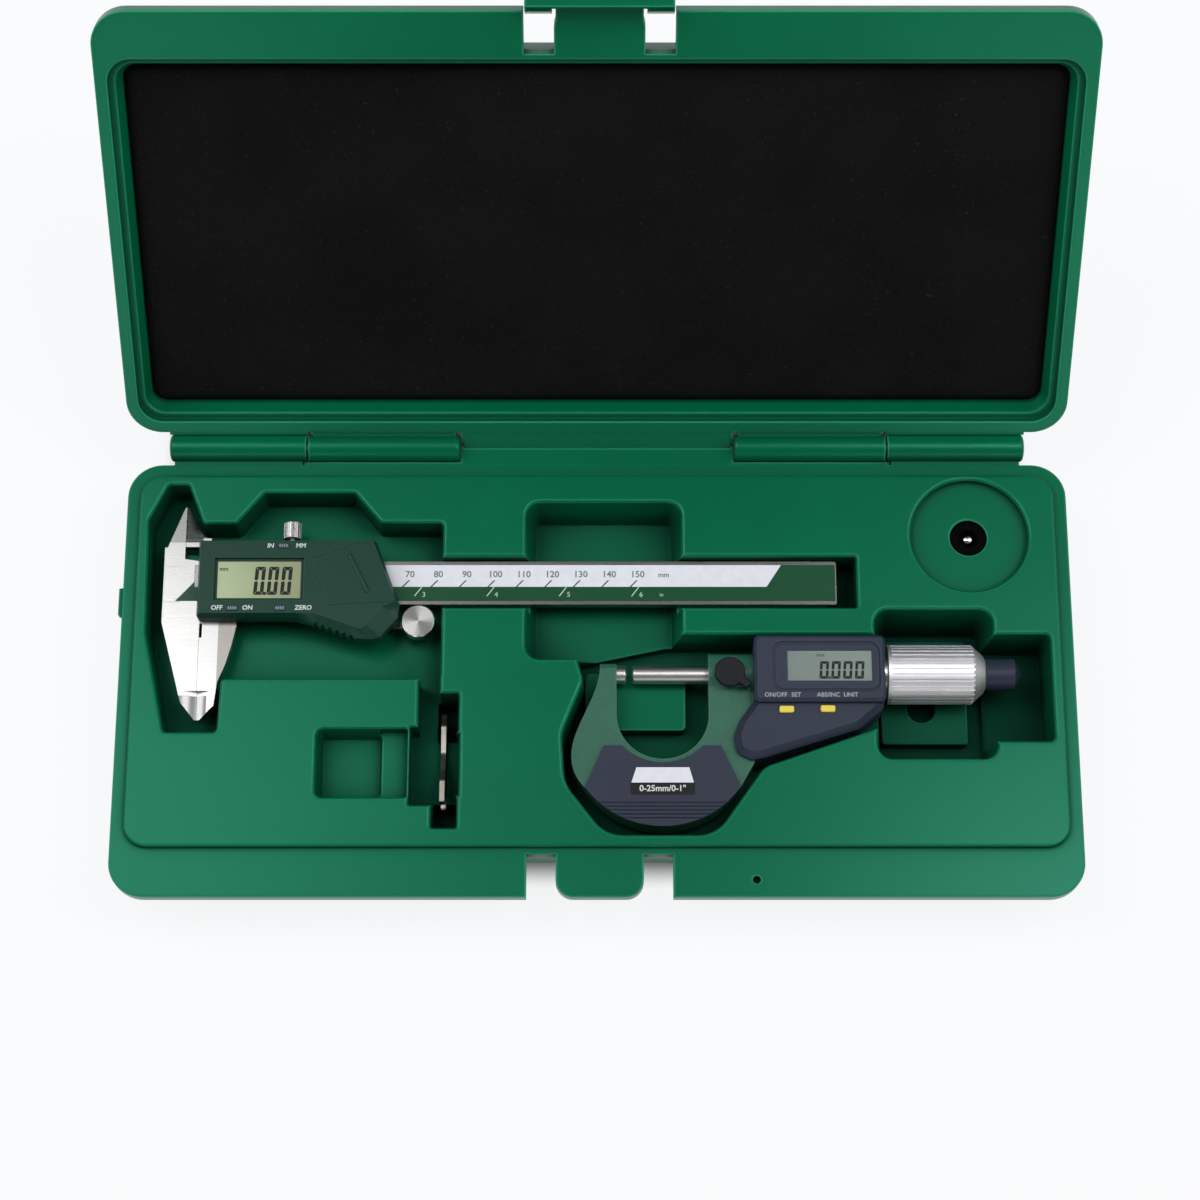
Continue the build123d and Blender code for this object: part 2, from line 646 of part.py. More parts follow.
def caliper_slider():
    """Moving jaw in one with the steel carriage that wraps the beam, and the arm under the roller."""
    face = jaw_width + jaw_gap
    edge = beam_width / 2 + slide_clearance
    outer = edge + rail_width
    low = -beam_thick
    back = low - slide_clearance
    jaw = filled([(face, -outer + 1), (face, jaw_tip), (face + 1.2, jaw_tip), (19.4, -44.8), (20.4, -36.2),
                  (23.0, -29.5), (24.9, -22.5), (26.3, -15.6), (26.1, -14.8), (26.1, -outer + 1)])
    jaw -= span(face - 1, face + 0.9, -20.0, -15.0)
    body = slab(jaw, low, 0)
    body -= jaw_relief(face + 4.6, face - 0.01)
    knife = filled([(knife_x + 0.05, 14.4), (knife_x + 0.05, knife_top), (knife_x + 0.6, knife_top),
                    (12.7, 19.2), (face + 1.0, 17.0), (face + 1.0, 14.4)])
    body += slab(knife, low, low + knife_rise) - knife_slope(low)
    shoulder = span(knife_x + 0.05, face + 1.0, 13.35, 16.6) + span(face, face + 3, edge, 16.6)
    body += slab(shoulder, low, 0)
    carriage = filled([(face, -outer), (slider_end - 0.8, -outer), (slider_end - 0.8, -7.0),
                       (slider_end - 9.0, outer), (face, outer)])
    rails = carriage - span(0, beam_length, -edge, edge)
    body += slab(rails, back - slider_back, slider_front + slide_clearance)
    body += slab(carriage, slide_clearance, slide_clearance + slider_front)
    body += slab(carriage - span(0, face + 5, -outer, outer), back - slider_back, back)
    arm = filled([(slider_end - 6, -edge - 0.6), (slider_end - 6, -15.6), (roller_x + 3.4, -15.6),
                  (roller_x + 3.4, -12.6), (slider_end, -12.6), (slider_end - 0.8, -edge - 0.6)])
    arm_top = back - 0.3
    body += slab(arm, back - slider_back, arm_top)
    roller_y = -beam_width / 2 - roller_gap - roller_radius
    body += rod_z(roller_axle_radius, roller_x, roller_y, back - slider_back, roller_top - 1.2)
    body -= Pos(lock_screw_x, outer + 1, low / 2 + 0.8) * Rot(90, 0, 0) * Cylinder(
        lock_shank_radius + running_clearance, 2 * (rail_width + 1))
    return set_caliper(body)


def housing_outline():
    """Plan of the slider's cover: square at the jaws, a thumb lobe under its right end."""
    points = [(12.7, -14.3), (47.0, -14.4), (54.4, -16.8), (68.0, -21.7), (73.7, -22.1), (76.8, -21.3),
              (82.8, -14.2), (83.3, -9.3), (74.9, 14.0), (12.7, 14.0)]
    return filled(points, [1.2, 8, 5, 5, 2, 2, 2.5, 1.5, 1.5, 1.2])


def housing_top_outline():
    """The flat top of the same cover, inside its sloped band."""
    points = [(13.6, -13.4), (47.0, -13.3), (54.2, -13.5), (66.5, -17.9), (70.2, -19.2), (71.9, -17.5),
              (77.4, -11.0), (82.2, -9.0), (74.0, 13.1), (13.6, 13.1)]
    return filled(points, [0.6, 5, 3, 3, 0.8, 1, 1.5, 0.8, 0.8, 0.6])


def housing_form():
    """Outer form of the slider's cover with its battery cover: upright sides, a sloped band, a flat top."""
    band = housing_top - housing_bevel
    body = slab(housing_outline(), housing_base, band)
    return body + loft(Sketch() + [Pos(0, 0, band) * housing_outline(),
                                   Pos(0, 0, housing_top) * housing_top_outline()], ruled=True)


def lobe_point(step):
    """Middle of one serration on the slanted lower edge of the thumb lobe."""
    x = serration_start + serration_step * step
    return x, -16.8 - 0.36 * (x - serration_start)


def cover_outline(grow=0.0):
    """Plan of the battery cover: its left and upper edges follow the way it slides."""
    turn = math.radians(cover_turn)
    along = Vector(math.cos(turn), math.sin(turn))
    up = Vector(-math.sin(turn), math.cos(turn))
    corner = Vector(cover_corner_x, cover_corner_y) - along * grow + up * grow
    low = corner - up * (cover_side + 2 * grow)
    far_top = corner + along * 24
    return filled([(corner.X, corner.Y), (low.X, low.Y), (90.0, low.Y + cover_front_rise),
                   (far_top.X + 14, far_top.Y - 4), (far_top.X, far_top.Y)])


def pill(x, y, grow=0.0):
    """Push-button plan: a short slot shape."""
    return Pos(x, y) * SlotOverall(button_length + 2 * grow, 2 * (button_radius + grow))


caliper_buttons = {"caliper_unit_button": (42.7, 11.2), "caliper_power_button": (25.5, -11.7),
                   "caliper_zero_button": (42.1, -11.7)}


def display_window(grow):
    return span(display_left - grow, display_right + grow, display_front - grow, display_back + grow)


def battery_room(grow, z0, z1):
    return rod_z(battery_radius + grow, battery_x, battery_y, z0, z1)


def caliper_housing():
    body = housing_form()
    outer = beam_width / 2 + slide_clearance + rail_width
    room = slider_front + slide_clearance + 0.05
    body -= slab(span(0, 100, -outer - 0.15, outer + 0.15), housing_base - 1, room)
    glass_top = housing_top - display_depth
    body -= slab(display_window(1.1), glass_top, housing_top + 1)
    body -= slab(display_window(0.1), glass_top - display_thick, housing_top)
    well_top = housing_top - cover_thick
    body -= slab(cover_outline(0.12), well_top, housing_top + 1)
    body -= battery_room(0.15, well_top - battery_thick - 0.1, well_top + 0.5)
    for x, y in caliper_buttons.values():
        body -= slab(pill(x, y, button_clearance), housing_top - 2.6, housing_top + 1)
    for step in range(thumb_serrations):
        place = lobe_point(step)
        body -= rod_z(serration_radius, place[0], place[1], housing_base - 1, housing_top + 1)
    neck = Pos(lock_screw_x, 14.5, -beam_thick / 2 + 0.8) * Rot(90, 0, 0)
    body -= neck * Cylinder(lock_shank_radius + 0.4, 6)
    return set_caliper(body)


def caliper_display():
    top = housing_top - display_depth
    return set_caliper(slab(display_window(0), top - display_thick, top))


def caliper_button(x, y):
    cap = slab(pill(x, y), housing_top - 2.0, housing_top + button_rise)
    return set_caliper(chamfer(edges_at(cap, housing_top + button_rise), 0.2))


def caliper_battery():
    top = housing_top - cover_thick
    return set_caliper(battery_room(0, top - battery_thick - 0.1, top - 0.1))


def caliper_battery_cover():
    """Plate that continues the cover's form, with a bevelled ridge for the thumb."""
    plate = housing_form() & slab(cover_outline(), housing_top - cover_thick, housing_top + 1)
    ridge = slab(Pos(69.1, 1.0) * Rot(0, 0, ridge_turn) * Rectangle(ridge_length, ridge_width),
                 housing_top - 0.3, housing_top + ridge_height)
    return set_caliper(plate + chamfer(edges_at(ridge, housing_top + ridge_height), ridge_width / 4))


def caliper_thumb_roller():
    y = -beam_width / 2 - roller_gap - roller_radius
    low = -beam_thick - 0.1
    disc = rod_z(roller_radius, roller_x, y, low, roller_top)
    disc = chamfer(disc.edges().filter_by(GeomType.CIRCLE), 0.3)
    disc -= rod_z(roller_axle_radius + running_clearance, roller_x, y, low - 1, roller_top - 1.0)
    return set_caliper(disc)


def caliper_lock_screw():
    z = -beam_thick / 2 + 0.8
    outer = beam_width / 2 + slide_clearance + rail_width
    head = Cylinder(lock_screw_radius, lock_screw_length)
    head = chamfer(head.edges().filter_by(GeomType.CIRCLE), 0.4)
    ridges = 20
    for ridge in range(ridges):
        head -= Rot(0, 0, 360 * ridge / ridges) * Pos(lock_screw_radius + 0.12, 0, 0) * Rot(0, 0, 45) * Box(
            0.45, 0.45, lock_screw_length + 1)
    head_y = lock_screw_start + lock_screw_length / 2
    screw = Pos(lock_screw_x, head_y, z) * Rot(90, 0, 0) * head
    shank_top = lock_screw_start + 0.5
    shank_length = shank_top - (outer - rail_width + 0.5)
    shank_y = shank_top - shank_length / 2
    screw += Pos(lock_screw_x, shank_y, z) * Rot(90, 0, 0) * Cylinder(lock_shank_radius, shank_length)
    return set_caliper(screw)


# ---------------------------------------------------------------- micrometer, drawn along its spindle axis
def set_mic(part):
    return Pos(mic_x, mic_y, mic_z) * part


def grip_outline():
    """Insulating plate on the bow: straight shoulders, a round cut for the bay, a curved lower edge."""
    low_left, low_right = (-5.2, -41.6), (48.4, -41.3)
    lines = Polyline(low_left, (1.4, -26.9), (7.6, -26.9))
    cut = ThreePointArc((7.6, -26.9), (21.7, -32.9), (35.6, -26.9))
    side = Polyline((35.6, -26.9), (41.6, -26.9), low_right)
    bottom = ThreePointArc(low_right, (21.6, -55.4), low_left)
    return make_face([lines, cut, side, bottom])


def micrometer_frame():
    left, right = bay_left, bay_left + 2 * bay_radius
    bay_mid = (left + right) / 2
    top = 1.0
    outer_left = Spline((0, top), (-2.6, -9.2), (-9.9, -29.7), (-5.2, -41.6))
    bottom = ThreePointArc((-5.2, -41.6), (21.6, -55.4), (48.4, -41.3))
    end = mic_housing_left
    right_side = Polyline((48.4, -41.3), (end, -32.4), (end, 5.0), (right, 5.0), (right, bay_depth))
    bay = ThreePointArc((right, bay_depth), (bay_mid, bay_depth - bay_radius), (left, bay_depth))
    arm = Polyline((left, bay_depth), (left, top), (0, top))
    outline = make_face([outer_left, bottom, right_side, bay, arm])
    half = frame_thick / 2
    frame = slab(outline, -half, half)
    frame += rod_x(boss_radius, right, end, 0, 0)
    frame += rod_x(arm_end_radius, 0, left, 0, 0)
    frame -= rod_x(spindle_radius + running_clearance, right - 1, 60, 0, 0)
    frame -= rod_x(spindle_radius, -0.1, left + 1, 0, 0)
    frame -= rod_z(2.0 + running_clearance, lever_x, lever_y, spindle_radius, boss_radius + 1)
    return set_mic(frame)


def micrometer_anvil():
    body = rod_x(spindle_radius, 0, anvil_tip, 0, 0)
    tip = [e for e in body.edges() if abs(e.center().X - anvil_tip) < 0.01 and e.geom_type == GeomType.CIRCLE]
    return set_mic(chamfer(tip, 0.4))


def micrometer_grip_plates():
    half = frame_thick / 2
    front = slab(grip_outline(), half, half + plate_thick)
    for rib in range(5):
        y = -47.2 - 1.35 * rib
        front -= slab(span(-10, 60, y - 0.3, y + 0.3), half + plate_thick - 0.35, half + plate_thick + 1)
    back = slab(grip_outline(), -half - plate_thick, -half)
    return set_mic(front + back)


def micrometer_label():
    top = frame_thick / 2 + plate_thick
    plate = filled([(10.6, -44.3), (32.4, -44.3), (32.4, -40.5), (30.8, -34.7), (12.4, -34.7), (10.6, -40.5)])
    return set_mic(slab(plate, top, top + label_thick))


def wing_outline():
    """Lower part of the electronics housing, running down to the left over the bow."""
    join = mic_housing_bottom + 6
    points = [(mic_housing_left + 1.4, join), (53.0, -11.6), (48.3, -18.2), (46.1, -23.9), (47.3, -29.8),
              (52.4, -32.3), (56.7, -31.5), (89.6, -21.3), (mic_housing_right - 0.5, -13.7),
              (mic_housing_right - 0.5, join)]
    return filled(points, wing_bevel + 0.7)


mic_buttons = {"micrometer_left_button": (64.4, -15.0), "micrometer_right_button": (78.6, -14.8)}


def mic_button_plan(x, y, grow=0.0):
    return Pos(x, y) * RectangleRounded(5.1 + 2 * grow, 2.4 + 2 * grow, 0.7 + grow)


def mic_window(grow):
    return span(mic_glass_left - grow, mic_glass_right + grow, -5.3 - grow, 5.5 + grow)


def micrometer_housing():
    main = span(mic_housing_left, mic_housing_right, mic_housing_bottom, mic_housing_top, 2.0)
    body = slab(main, -mic_housing_back, mic_housing_front)
    body = chamfer(edges_at(body, mic_housing_front), 1.2)
    wing = slab(wing_outline(), frame_thick / 2, wing_front)
    body += chamfer(edges_at(wing, wing_front), wing_bevel)
    behind = wing_outline() & span(mic_housing_left, 110, -40, 0)
    body += slab(behind, -frame_thick / 2 - plate_thick, wing_front - wing_bevel)
    body -= slab(span(59.3, 96.9, -9.4, 8.8, 4.0), mic_housing_front - 0.4, mic_housing_front + 1)
    body += slab(span(60.7, 96.3, -8.3, 7.7, 3.0), mic_housing_front - 0.6, mic_housing_front)
    body -= slab(mic_window(0.1), mic_housing_front - mic_glass_depth, mic_housing_front + 1)
    body -= rod_x(spindle_radius + 0.25, 50, 110, 0, 0)
    body -= rod_x(sleeve_radius, sleeve_start, 110, 0, 0)
    body -= rod_x(thimble_radius + thimble_socket_gap, mic_housing_right - thimble_socket, 110, 0, 0)
    body -= rod_x(rotor_radius + 0.4, rotor_x - rotor_thick / 2 - 0.2, rotor_x + rotor_thick / 2 + 0.2, 0, 0)
    for x, y in mic_buttons.values():
        body -= slab(mic_button_plan(x, y, button_clearance), wing_front - 0.6, mic_housing_front + 1)
    deep = cap_thick + battery_thick + 0.2
    body -= rod_z(battery_radius + 0.2, cap_x, cap_y, -mic_housing_back - 1, -mic_housing_back + deep)
    body -= rod_z(cap_radius + 0.1, cap_x, cap_y, -mic_housing_back - 1, -mic_housing_back + cap_thick + 0.05)
    return set_mic(body)


def micrometer_display():
    return set_mic(slab(mic_window(0), mic_housing_front - mic_glass_depth, mic_housing_front - 0.5))


def micrometer_button(x, y):
    cap = slab(mic_button_plan(x, y), wing_front, mic_button_top)
    return set_mic(chamfer(edges_at(cap, mic_button_top), 0.3))


def micrometer_sleeve():
    tube = rod_x(sleeve_radius, sleeve_start, sleeve_end, 0, 0)
    return set_mic(tube - rod_x(sleeve_wall + 0.2, sleeve_start - 1, sleeve_end + 1, 0, 0))


def micrometer_spindle():
    """Measuring screw, with the flat key way that turns the encoder's rotor."""
    screw = rod_x(spindle_radius, spindle_tip, thimble_end - spindle_short, 0, 0)
    tip = [e for e in screw.edges() if abs(e.center().X - spindle_tip) < 0.01 and e.geom_type == GeomType.CIRCLE]
    return set_mic(chamfer(tip, 0.4))


def micrometer_thimble():
    """Ribbed drum with a plain collar and a domed end, closed by the wall that grips the spindle."""
    x0, x1 = thimble_start, thimble_end
    rib_depth = 0.55
    profile = filled([(x0, 0), (x0, thimble_radius), (x1 - 4.9, thimble_radius), (x1 - 2.2, thimble_radius - 2.4),
                      (x1 - 0.7, thimble_radius - 3.8), (x1, thimble_radius - 5.0), (x1, 0)])
    drum = revolve(profile, Axis.X)
    inner = sleeve_radius + 0.25
    drum -= rod_x(inner, x0 - 1, x1 - 8.0, 0, 0)
    drum -= rod_x(spindle_radius, x0, x1 - spindle_short, 0, 0)
    drum -= rod_x(ratchet_stub_radius + running_clearance, x0, x1 + 1, 0, 0)
    groove_width = 0.8
    groove = Pos((x0 + x1 - 2) / 2, thimble_radius, 0) * Box(x1 - x0 - 4.4, 2 * rib_depth, groove_width)
    for rib in range(thimble_ribs):
        drum -= Rot(360 * rib / thimble_ribs, 0, 0) * groove
    return set_mic(drum)


def micrometer_ratchet():
    x0 = thimble_end + 0.2
    profile = filled([(x0, 0), (x0, ratchet_radius), (ratchet_end - 2.4, ratchet_radius),
                      (ratchet_end - 0.9, 2.6), (ratchet_end, 1.2), (ratchet_end, 0)])
    stub = rod_x(ratchet_stub_radius, thimble_end - spindle_short + 0.1, x0, 0, 0)
    return set_mic(revolve(profile, Axis.X) + stub)


def micrometer_lock_lever():
    low = boss_radius + 0.25
    disc = Pos(lever_x, lever_y) * Circle(lever_radius)
    arm = Pos(lever_x, lever_y) * Rot(0, 0, -36) * (Pos(4.4, 0) * SlotOverall(8.0, 3.0))
    lever = slab(disc + arm, low, low + lever_thick)
    lever = chamfer(edges_at(lever, low + lever_thick), 0.4)
    return set_mic(lever + rod_z(2.0, lever_x, lever_y, spindle_radius + 0.3, low + 0.5))


def encoder_rotor():
    disc = rod_x(rotor_radius, rotor_x - rotor_thick / 2, rotor_x + rotor_thick / 2, 0, 0)
    return set_mic(disc - rod_x(spindle_radius + running_clearance, rotor_x - 5, rotor_x + 5, 0, 0))


def micrometer_battery():
    low = -mic_housing_back + cap_thick + 0.1
    return set_mic(rod_z(battery_radius, cap_x, cap_y, low, low + battery_thick))


def micrometer_battery_cap():
    low = -mic_housing_back
    cap = rod_z(cap_radius, cap_x, cap_y, low, low + cap_thick)
    return set_mic(cap - slab(Pos(cap_x, cap_y) * SlotOverall(10.0, 1.8), low - 1, low + 0.7))


# ---------------------------------------------------------------- loose accessories
def spanner():
    """Flat hook spanner for the sleeve, standing on edge in its slot."""
    half = spanner_length / 2
    body = filled([(-half, 0), (half, 0), (half, 6.0), (half - 5.5, 9.5), (2.0, 8.0), (-5.0, 11.5),
                   (-9.0, spanner_height), (-half, spanner_height)], [0.5, 0.5, 2, 2, 3, 3, 1.5, 0.5])
    body -= Pos(-half + 1.0, 7.0) * Circle(3.6)
    body -= Pos(half - 5.0, 4.4) * Circle(2.0)
    plate = across(Pos(spanner_y, spanner_low) * body, -spanner_thick / 2, spanner_thick / 2)
    return Pos(spanner_x, 0, 0) * plate


def ball_attachment():
    low = plateau_z - dish_depth - holder_height + seat_gap
    top = plateau_z - dish_depth
    holder = rod_z(holder_radius, dish_x, dish_y, low, top)
    holder = fillet(edges_at(holder, top), 0.8)
    sunk = ball_drop + ball_radius
    ball = Pos(dish_x, dish_y, top - sunk) * Sphere(ball_radius)
    holder -= ball
    dimple = Cone(ball_radius, holder_dimple, sunk, align=(Align.CENTER, Align.CENTER, Align.MAX))
    holder -= Pos(dish_x, dish_y, top) * dimple
    holder -= rod_z(spindle_radius + running_clearance, dish_x, dish_y, low - 1, low + holder_bore_depth)
    return holder, ball


# ---------------------------------------------------------------- write every node
def main():
    os.makedirs("parts", exist_ok=True)
    clasp, clasp_pin = clasp_parts()
    holder, ball = ball_attachment()
    nodes = {
        "base_tray": base_tray(), "lid_shell": lid_shell(), "lid_foam": lid_foam(),
        "hinge_pins": hinge_pins(), "latch_clasp": clasp, "clasp_pin": clasp_pin,
        "caliper_beam": caliper_beam(), "caliper_scale": caliper_scale(),
        "caliper_depth_rod": caliper_depth_rod(), "caliper_slider": caliper_slider(),
        "caliper_housing": caliper_housing(), "caliper_display": caliper_display(),
        "caliper_battery": caliper_battery(), "caliper_battery_cover": caliper_battery_cover(),
        "caliper_thumb_roller": caliper_thumb_roller(), "caliper_lock_screw": caliper_lock_screw(),
        "micrometer_frame": micrometer_frame(), "micrometer_anvil": micrometer_anvil(),
        "micrometer_grip_plates": micrometer_grip_plates(), "micrometer_label": micrometer_label(),
        "micrometer_housing": micrometer_housing(), "micrometer_display": micrometer_display(),
        "micrometer_sleeve": micrometer_sleeve(), "micrometer_spindle": micrometer_spindle(),
        "micrometer_thimble": micrometer_thimble(), "micrometer_ratchet": micrometer_ratchet(),
        "micrometer_lock_lever": micrometer_lock_lever(), "encoder_rotor": encoder_rotor(),
        "micrometer_battery": micrometer_battery(), "micrometer_battery_cap": micrometer_battery_cap(),
        "spanner": spanner(), "ball_holder": holder, "attachment_ball": ball,
    }
    for name, (x, y) in caliper_buttons.items():
        nodes[name] = caliper_button(x, y)
    for name, (x, y) in mic_buttons.items():
        nodes[name] = micrometer_button(x, y)
    for name, part in nodes.items():
        export_step(part, f"parts/{name}.step")


main()
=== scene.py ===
"""Looks of the micrometer case: finishes, displays, printing, the lid's foam pad, floor, lights and camera."""
import json
import math

import bmesh
import bpy
from mathutils import Matrix, Vector


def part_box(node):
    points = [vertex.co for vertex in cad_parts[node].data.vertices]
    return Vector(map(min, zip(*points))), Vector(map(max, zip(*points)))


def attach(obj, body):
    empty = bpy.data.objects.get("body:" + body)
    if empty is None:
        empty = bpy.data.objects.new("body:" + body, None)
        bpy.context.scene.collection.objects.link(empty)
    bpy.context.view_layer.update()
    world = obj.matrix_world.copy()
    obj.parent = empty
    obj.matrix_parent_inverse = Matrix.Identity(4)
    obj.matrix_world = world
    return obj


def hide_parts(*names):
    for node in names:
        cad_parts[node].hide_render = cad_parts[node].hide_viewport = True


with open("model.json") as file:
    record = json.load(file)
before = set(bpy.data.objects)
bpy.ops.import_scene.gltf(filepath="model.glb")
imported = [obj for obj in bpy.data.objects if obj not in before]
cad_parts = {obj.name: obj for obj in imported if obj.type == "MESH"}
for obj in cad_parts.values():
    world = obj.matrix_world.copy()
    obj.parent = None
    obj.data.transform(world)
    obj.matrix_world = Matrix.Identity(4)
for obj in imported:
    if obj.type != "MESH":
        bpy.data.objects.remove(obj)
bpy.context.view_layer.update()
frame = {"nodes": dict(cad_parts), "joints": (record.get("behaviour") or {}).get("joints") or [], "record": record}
mm = 0.001                    # lengths are in metres

# ---------------------------------------------------------------- camera, floor and studio
camera_target = Vector((1.1, 27.0, 30.0)) * mm
camera_distance = 986 * mm
camera_elevation = math.radians(72)
camera_lens = 84.7
camera_sensor = 36.0
floor_half = 6.0
floor_colour = (0.80, 0.81, 0.83)
studio_white = (0.985, 0.990, 1.0)
floor_glow_share = 0.89       # of the floor as seen directly, away from the case
shade_sides = 0.020           # the floor under the case keeps its full shadow; these are how far inside its
shade_front = 0.020           # outline that begins, and how far behind it goes on, under the hinges
shade_behind = 0.030
shade_reach = 0.012           # over this distance the shadow gives way to the glow
ceiling_dark = 0.08           # strength of the light from overhead
horizon_pale = 0.36           # and from the sides
wall_glow = 0.96              # the studio's wall as seen directly

# ---------------------------------------------------------------- lamps
lamp_height = 1.05
side_lamp_size = (0.75, 1.25)
side_lamp_power = 8.2
left_lamp_place = (-0.78, 0.20)
right_lamp_place = (0.80, 0.10)
strip_lamp_size = (0.34, 0.60)   # small lamps whose glare lies on the ends of the tray and on the tools there
strip_lamp_power = 1.25
strip_lamp_place = (-0.36, 0.18)
corner_lamp_size = (0.24, 0.30)
corner_lamp_power = 1.4
corner_lamp_place = (0.33, 0.08)
rim_lamp_size = (0.24, 0.40)     # low lamps in front, whose glare lies on the sides of the open lid
rim_lamp_power = 1.2
rim_lamp_height = 0.42
left_rim_place = (-0.42, -1.20)
right_rim_place = (0.42, -1.20)

# ---------------------------------------------------------------- places taken from the frame
tray_low, tray_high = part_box("base_tray")
beam_low, beam_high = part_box("caliper_beam")
strip_low, strip_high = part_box("caliper_scale")
caliper_place = Vector((beam_low.x, (strip_low.y + strip_high.y) / 2, strip_high.z))
spindle_low, spindle_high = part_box("micrometer_spindle")
spindle_middle = (spindle_low + spindle_high) / 2
anvil_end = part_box("micrometer_anvil")[0].x
micrometer_place = Vector((anvil_end, spindle_middle.y, spindle_middle.z))
lid_joint = next(joint for joint in frame["joints"] if joint["name"] == "lid_hinge")
hinge_place = Vector(lid_joint["pos_m"])
lid_open = math.radians(130)

# ---------------------------------------------------------------- painted shade, highlights and tone of the tray and the tools
recess_reach = 22 * mm        # painted shade darkens the tray's recesses where they are narrower than this
groove_reach = 3 * mm         # and the grooves and steps of the tools' plastics
shelter_samples = 12
edge_samples = 6
broad_clouds = 9.0            # scale of the slow change of tone over large mouldings
tray_wall = 7 * mm            # from the case's sides to inside its walls
tray_front_wall = 17.8 * mm   # the same at the front, past the flange
pale_floor = 18 * mm          # painted shade darkens the tray's floors from this height
dark_floor = 6 * mm           # down to this one
metal_edge = 0.15 * mm        # rounding of ground metal's edges
ring_rate = 9000.0            # turning marks of the thumb roller, in radians for each metre of its radius

# ---------------------------------------------------------------- steel of the caliper
knife_height = 15 * mm        # from the beam's middle line up to where the jaws are ground to knife edges
fixed_knife_reach = 7.25 * mm      # from the beam's left end to the right side of each knife edge
moving_knife_reach = 13.4 * mm
plain_beam = 20 * mm          # from the same end to where only the edges of the beam show
tip_left = 7.2 * mm           # and to the ground tip of the long jaws
tip_width = 9.6 * mm
tip_height = 8.6 * mm
past_end = 1 * mm             # masks reach this far past the steel

# ---------------------------------------------------------------- ink and display segments
print_thick = 0.03 * mm
print_sink = 0.005 * mm       # how far ink reaches into what it lies on


# ---------------------------------------------------------------- shader nodes
def join(tree, source, output, target, field):
    tree.links.new(source.outputs[output], target.inputs[field])


def math_node(tree, operation, first, second=None, clamp=False):
    """Result of one operation on sockets or numbers."""
    node = tree.nodes.new("ShaderNodeMath")
    node.operation = operation
    node.use_clamp = clamp
    for index, value in enumerate((first, second)):
        if isinstance(value, (int, float)):
            node.inputs[index].default_value = value
        elif value is not None:
            tree.links.new(value, node.inputs[index])
    return node.outputs[0]


def product(tree, first, *others):
    """Values multiplied together; for masks, where all of them overlap."""
    for value in others:
        first = math_node(tree, "MULTIPLY", first, value)
    return first


def noise(tree, scale, detail, roughness, vector=None):
    """Soft noise over the piece, or over a vector; its scale is a socket or a number."""
    node = tree.nodes.new("ShaderNodeTexNoise")
    node.inputs["Detail"].default_value = detail
    node.inputs["Roughness"].default_value = roughness
    if isinstance(scale, (int, float)):
        node.inputs["Scale"].default_value = scale
    else:
        tree.links.new(scale, node.inputs["Scale"])
    if vector is None:
        place = tree.nodes.new("ShaderNodeTexCoord")
        vector = place.outputs["Object"]
    tree.links.new(vector, node.inputs["Vector"])
    return node.outputs["Fac"]


def ramp(tree, source, low, high, low_value=0.0, high_value=1.0):
    """Spreads a value between two limits; a mask with soft edges."""
    node = tree.nodes.new("ShaderNodeMapRange")
    node.interpolation_type = "SMOOTHSTEP"
    for field, value in zip(("From Min", "From Max", "To Min", "To Max"), (low, high, low_value, high_value)):
        node.inputs[field].default_value = value
    tree.links.new(source, node.inputs["Value"])
    return node.outputs["Result"]


def mix_colours(tree, share, first, second):
    """Mixes two colours, each a socket or three numbers, by a share that is a socket or a number."""
    node = tree.nodes.new("ShaderNodeMix")
    node.data_type = "RGBA"
    for socket, value in ((node.inputs["Factor"], share), (node.inputs[6], first), (node.inputs[7], second)):
        if isinstance(value, bpy.types.NodeSocket):
            tree.links.new(value, socket)
        elif isinstance(value, (int, float)):
            socket.default_value = value
        else:
            socket.default_value = (*value, 1.0)
    return node.outputs[2]


def along(tree, axis, kind="Object"):
    """Where each point lies along one axis."""
    place = tree.nodes.new("ShaderNodeTexCoord")
    split = tree.nodes.new("ShaderNodeSeparateXYZ")
    join(tree, place, kind, split, 0)
    return split.outputs[axis]


def between(tree, value, start, end):
    """1 between two values, 0 beyond them."""
    after = math_node(tree, "GREATER_THAN", value, start)
    before = math_node(tree, "LESS_THAN", value, end)
    return product(tree, after, before)


def blend_shaders(tree, share, first, second, output):
    """Shows the first shader, and the second one over it by the share."""
    blend = tree.nodes.new("ShaderNodeMixShader")
    tree.links.new(share, blend.inputs[0])
    join(tree, first, 0, blend, 1)
    join(tree, second, 0, blend, 2)
    join(tree, blend, 0, tree.nodes[output], "Surface")


# ---------------------------------------------------------------- shader groups
def new_group(name, inputs, outputs):
    """Empty node group with named sockets; inputs are (name, kind, default) and outputs (name, kind)."""
    group = bpy.data.node_groups.new(name, "ShaderNodeTree")
    for label, kind, value in inputs:
        socket = group.interface.new_socket(label, in_out="INPUT", socket_type=kind)
        socket.default_value = value
    for label, kind in outputs:
        group.interface.new_socket(label, in_out="OUTPUT", socket_type=kind)
    entry = group.nodes.new("NodeGroupInput")
    leave = group.nodes.new("NodeGroupOutput")
    return group, entry, leave


def tone_group():
    """Slow change of tone over a surface: two colours mixed by soft clouds."""
    group, entry, leave = new_group(
        "cloudy_tone",
        [("Colour", "NodeSocketColor", (0.5, 0.5, 0.5, 1)), ("Other Colour", "NodeSocketColor", (0.4, 0.4, 0.4, 1)),
         ("Scale", "NodeSocketFloat", 20.0)],
        [("Colour", "NodeSocketColor")])
    clouds = noise(group, entry.outputs["Scale"], 4.0, 0.55)
    mask = ramp(group, clouds, 0.35, 0.65)
    colour = mix_colours(group, mask, entry.outputs["Colour"], entry.outputs["Other Colour"])
    group.links.new(colour, leave.inputs["Colour"])
    return group


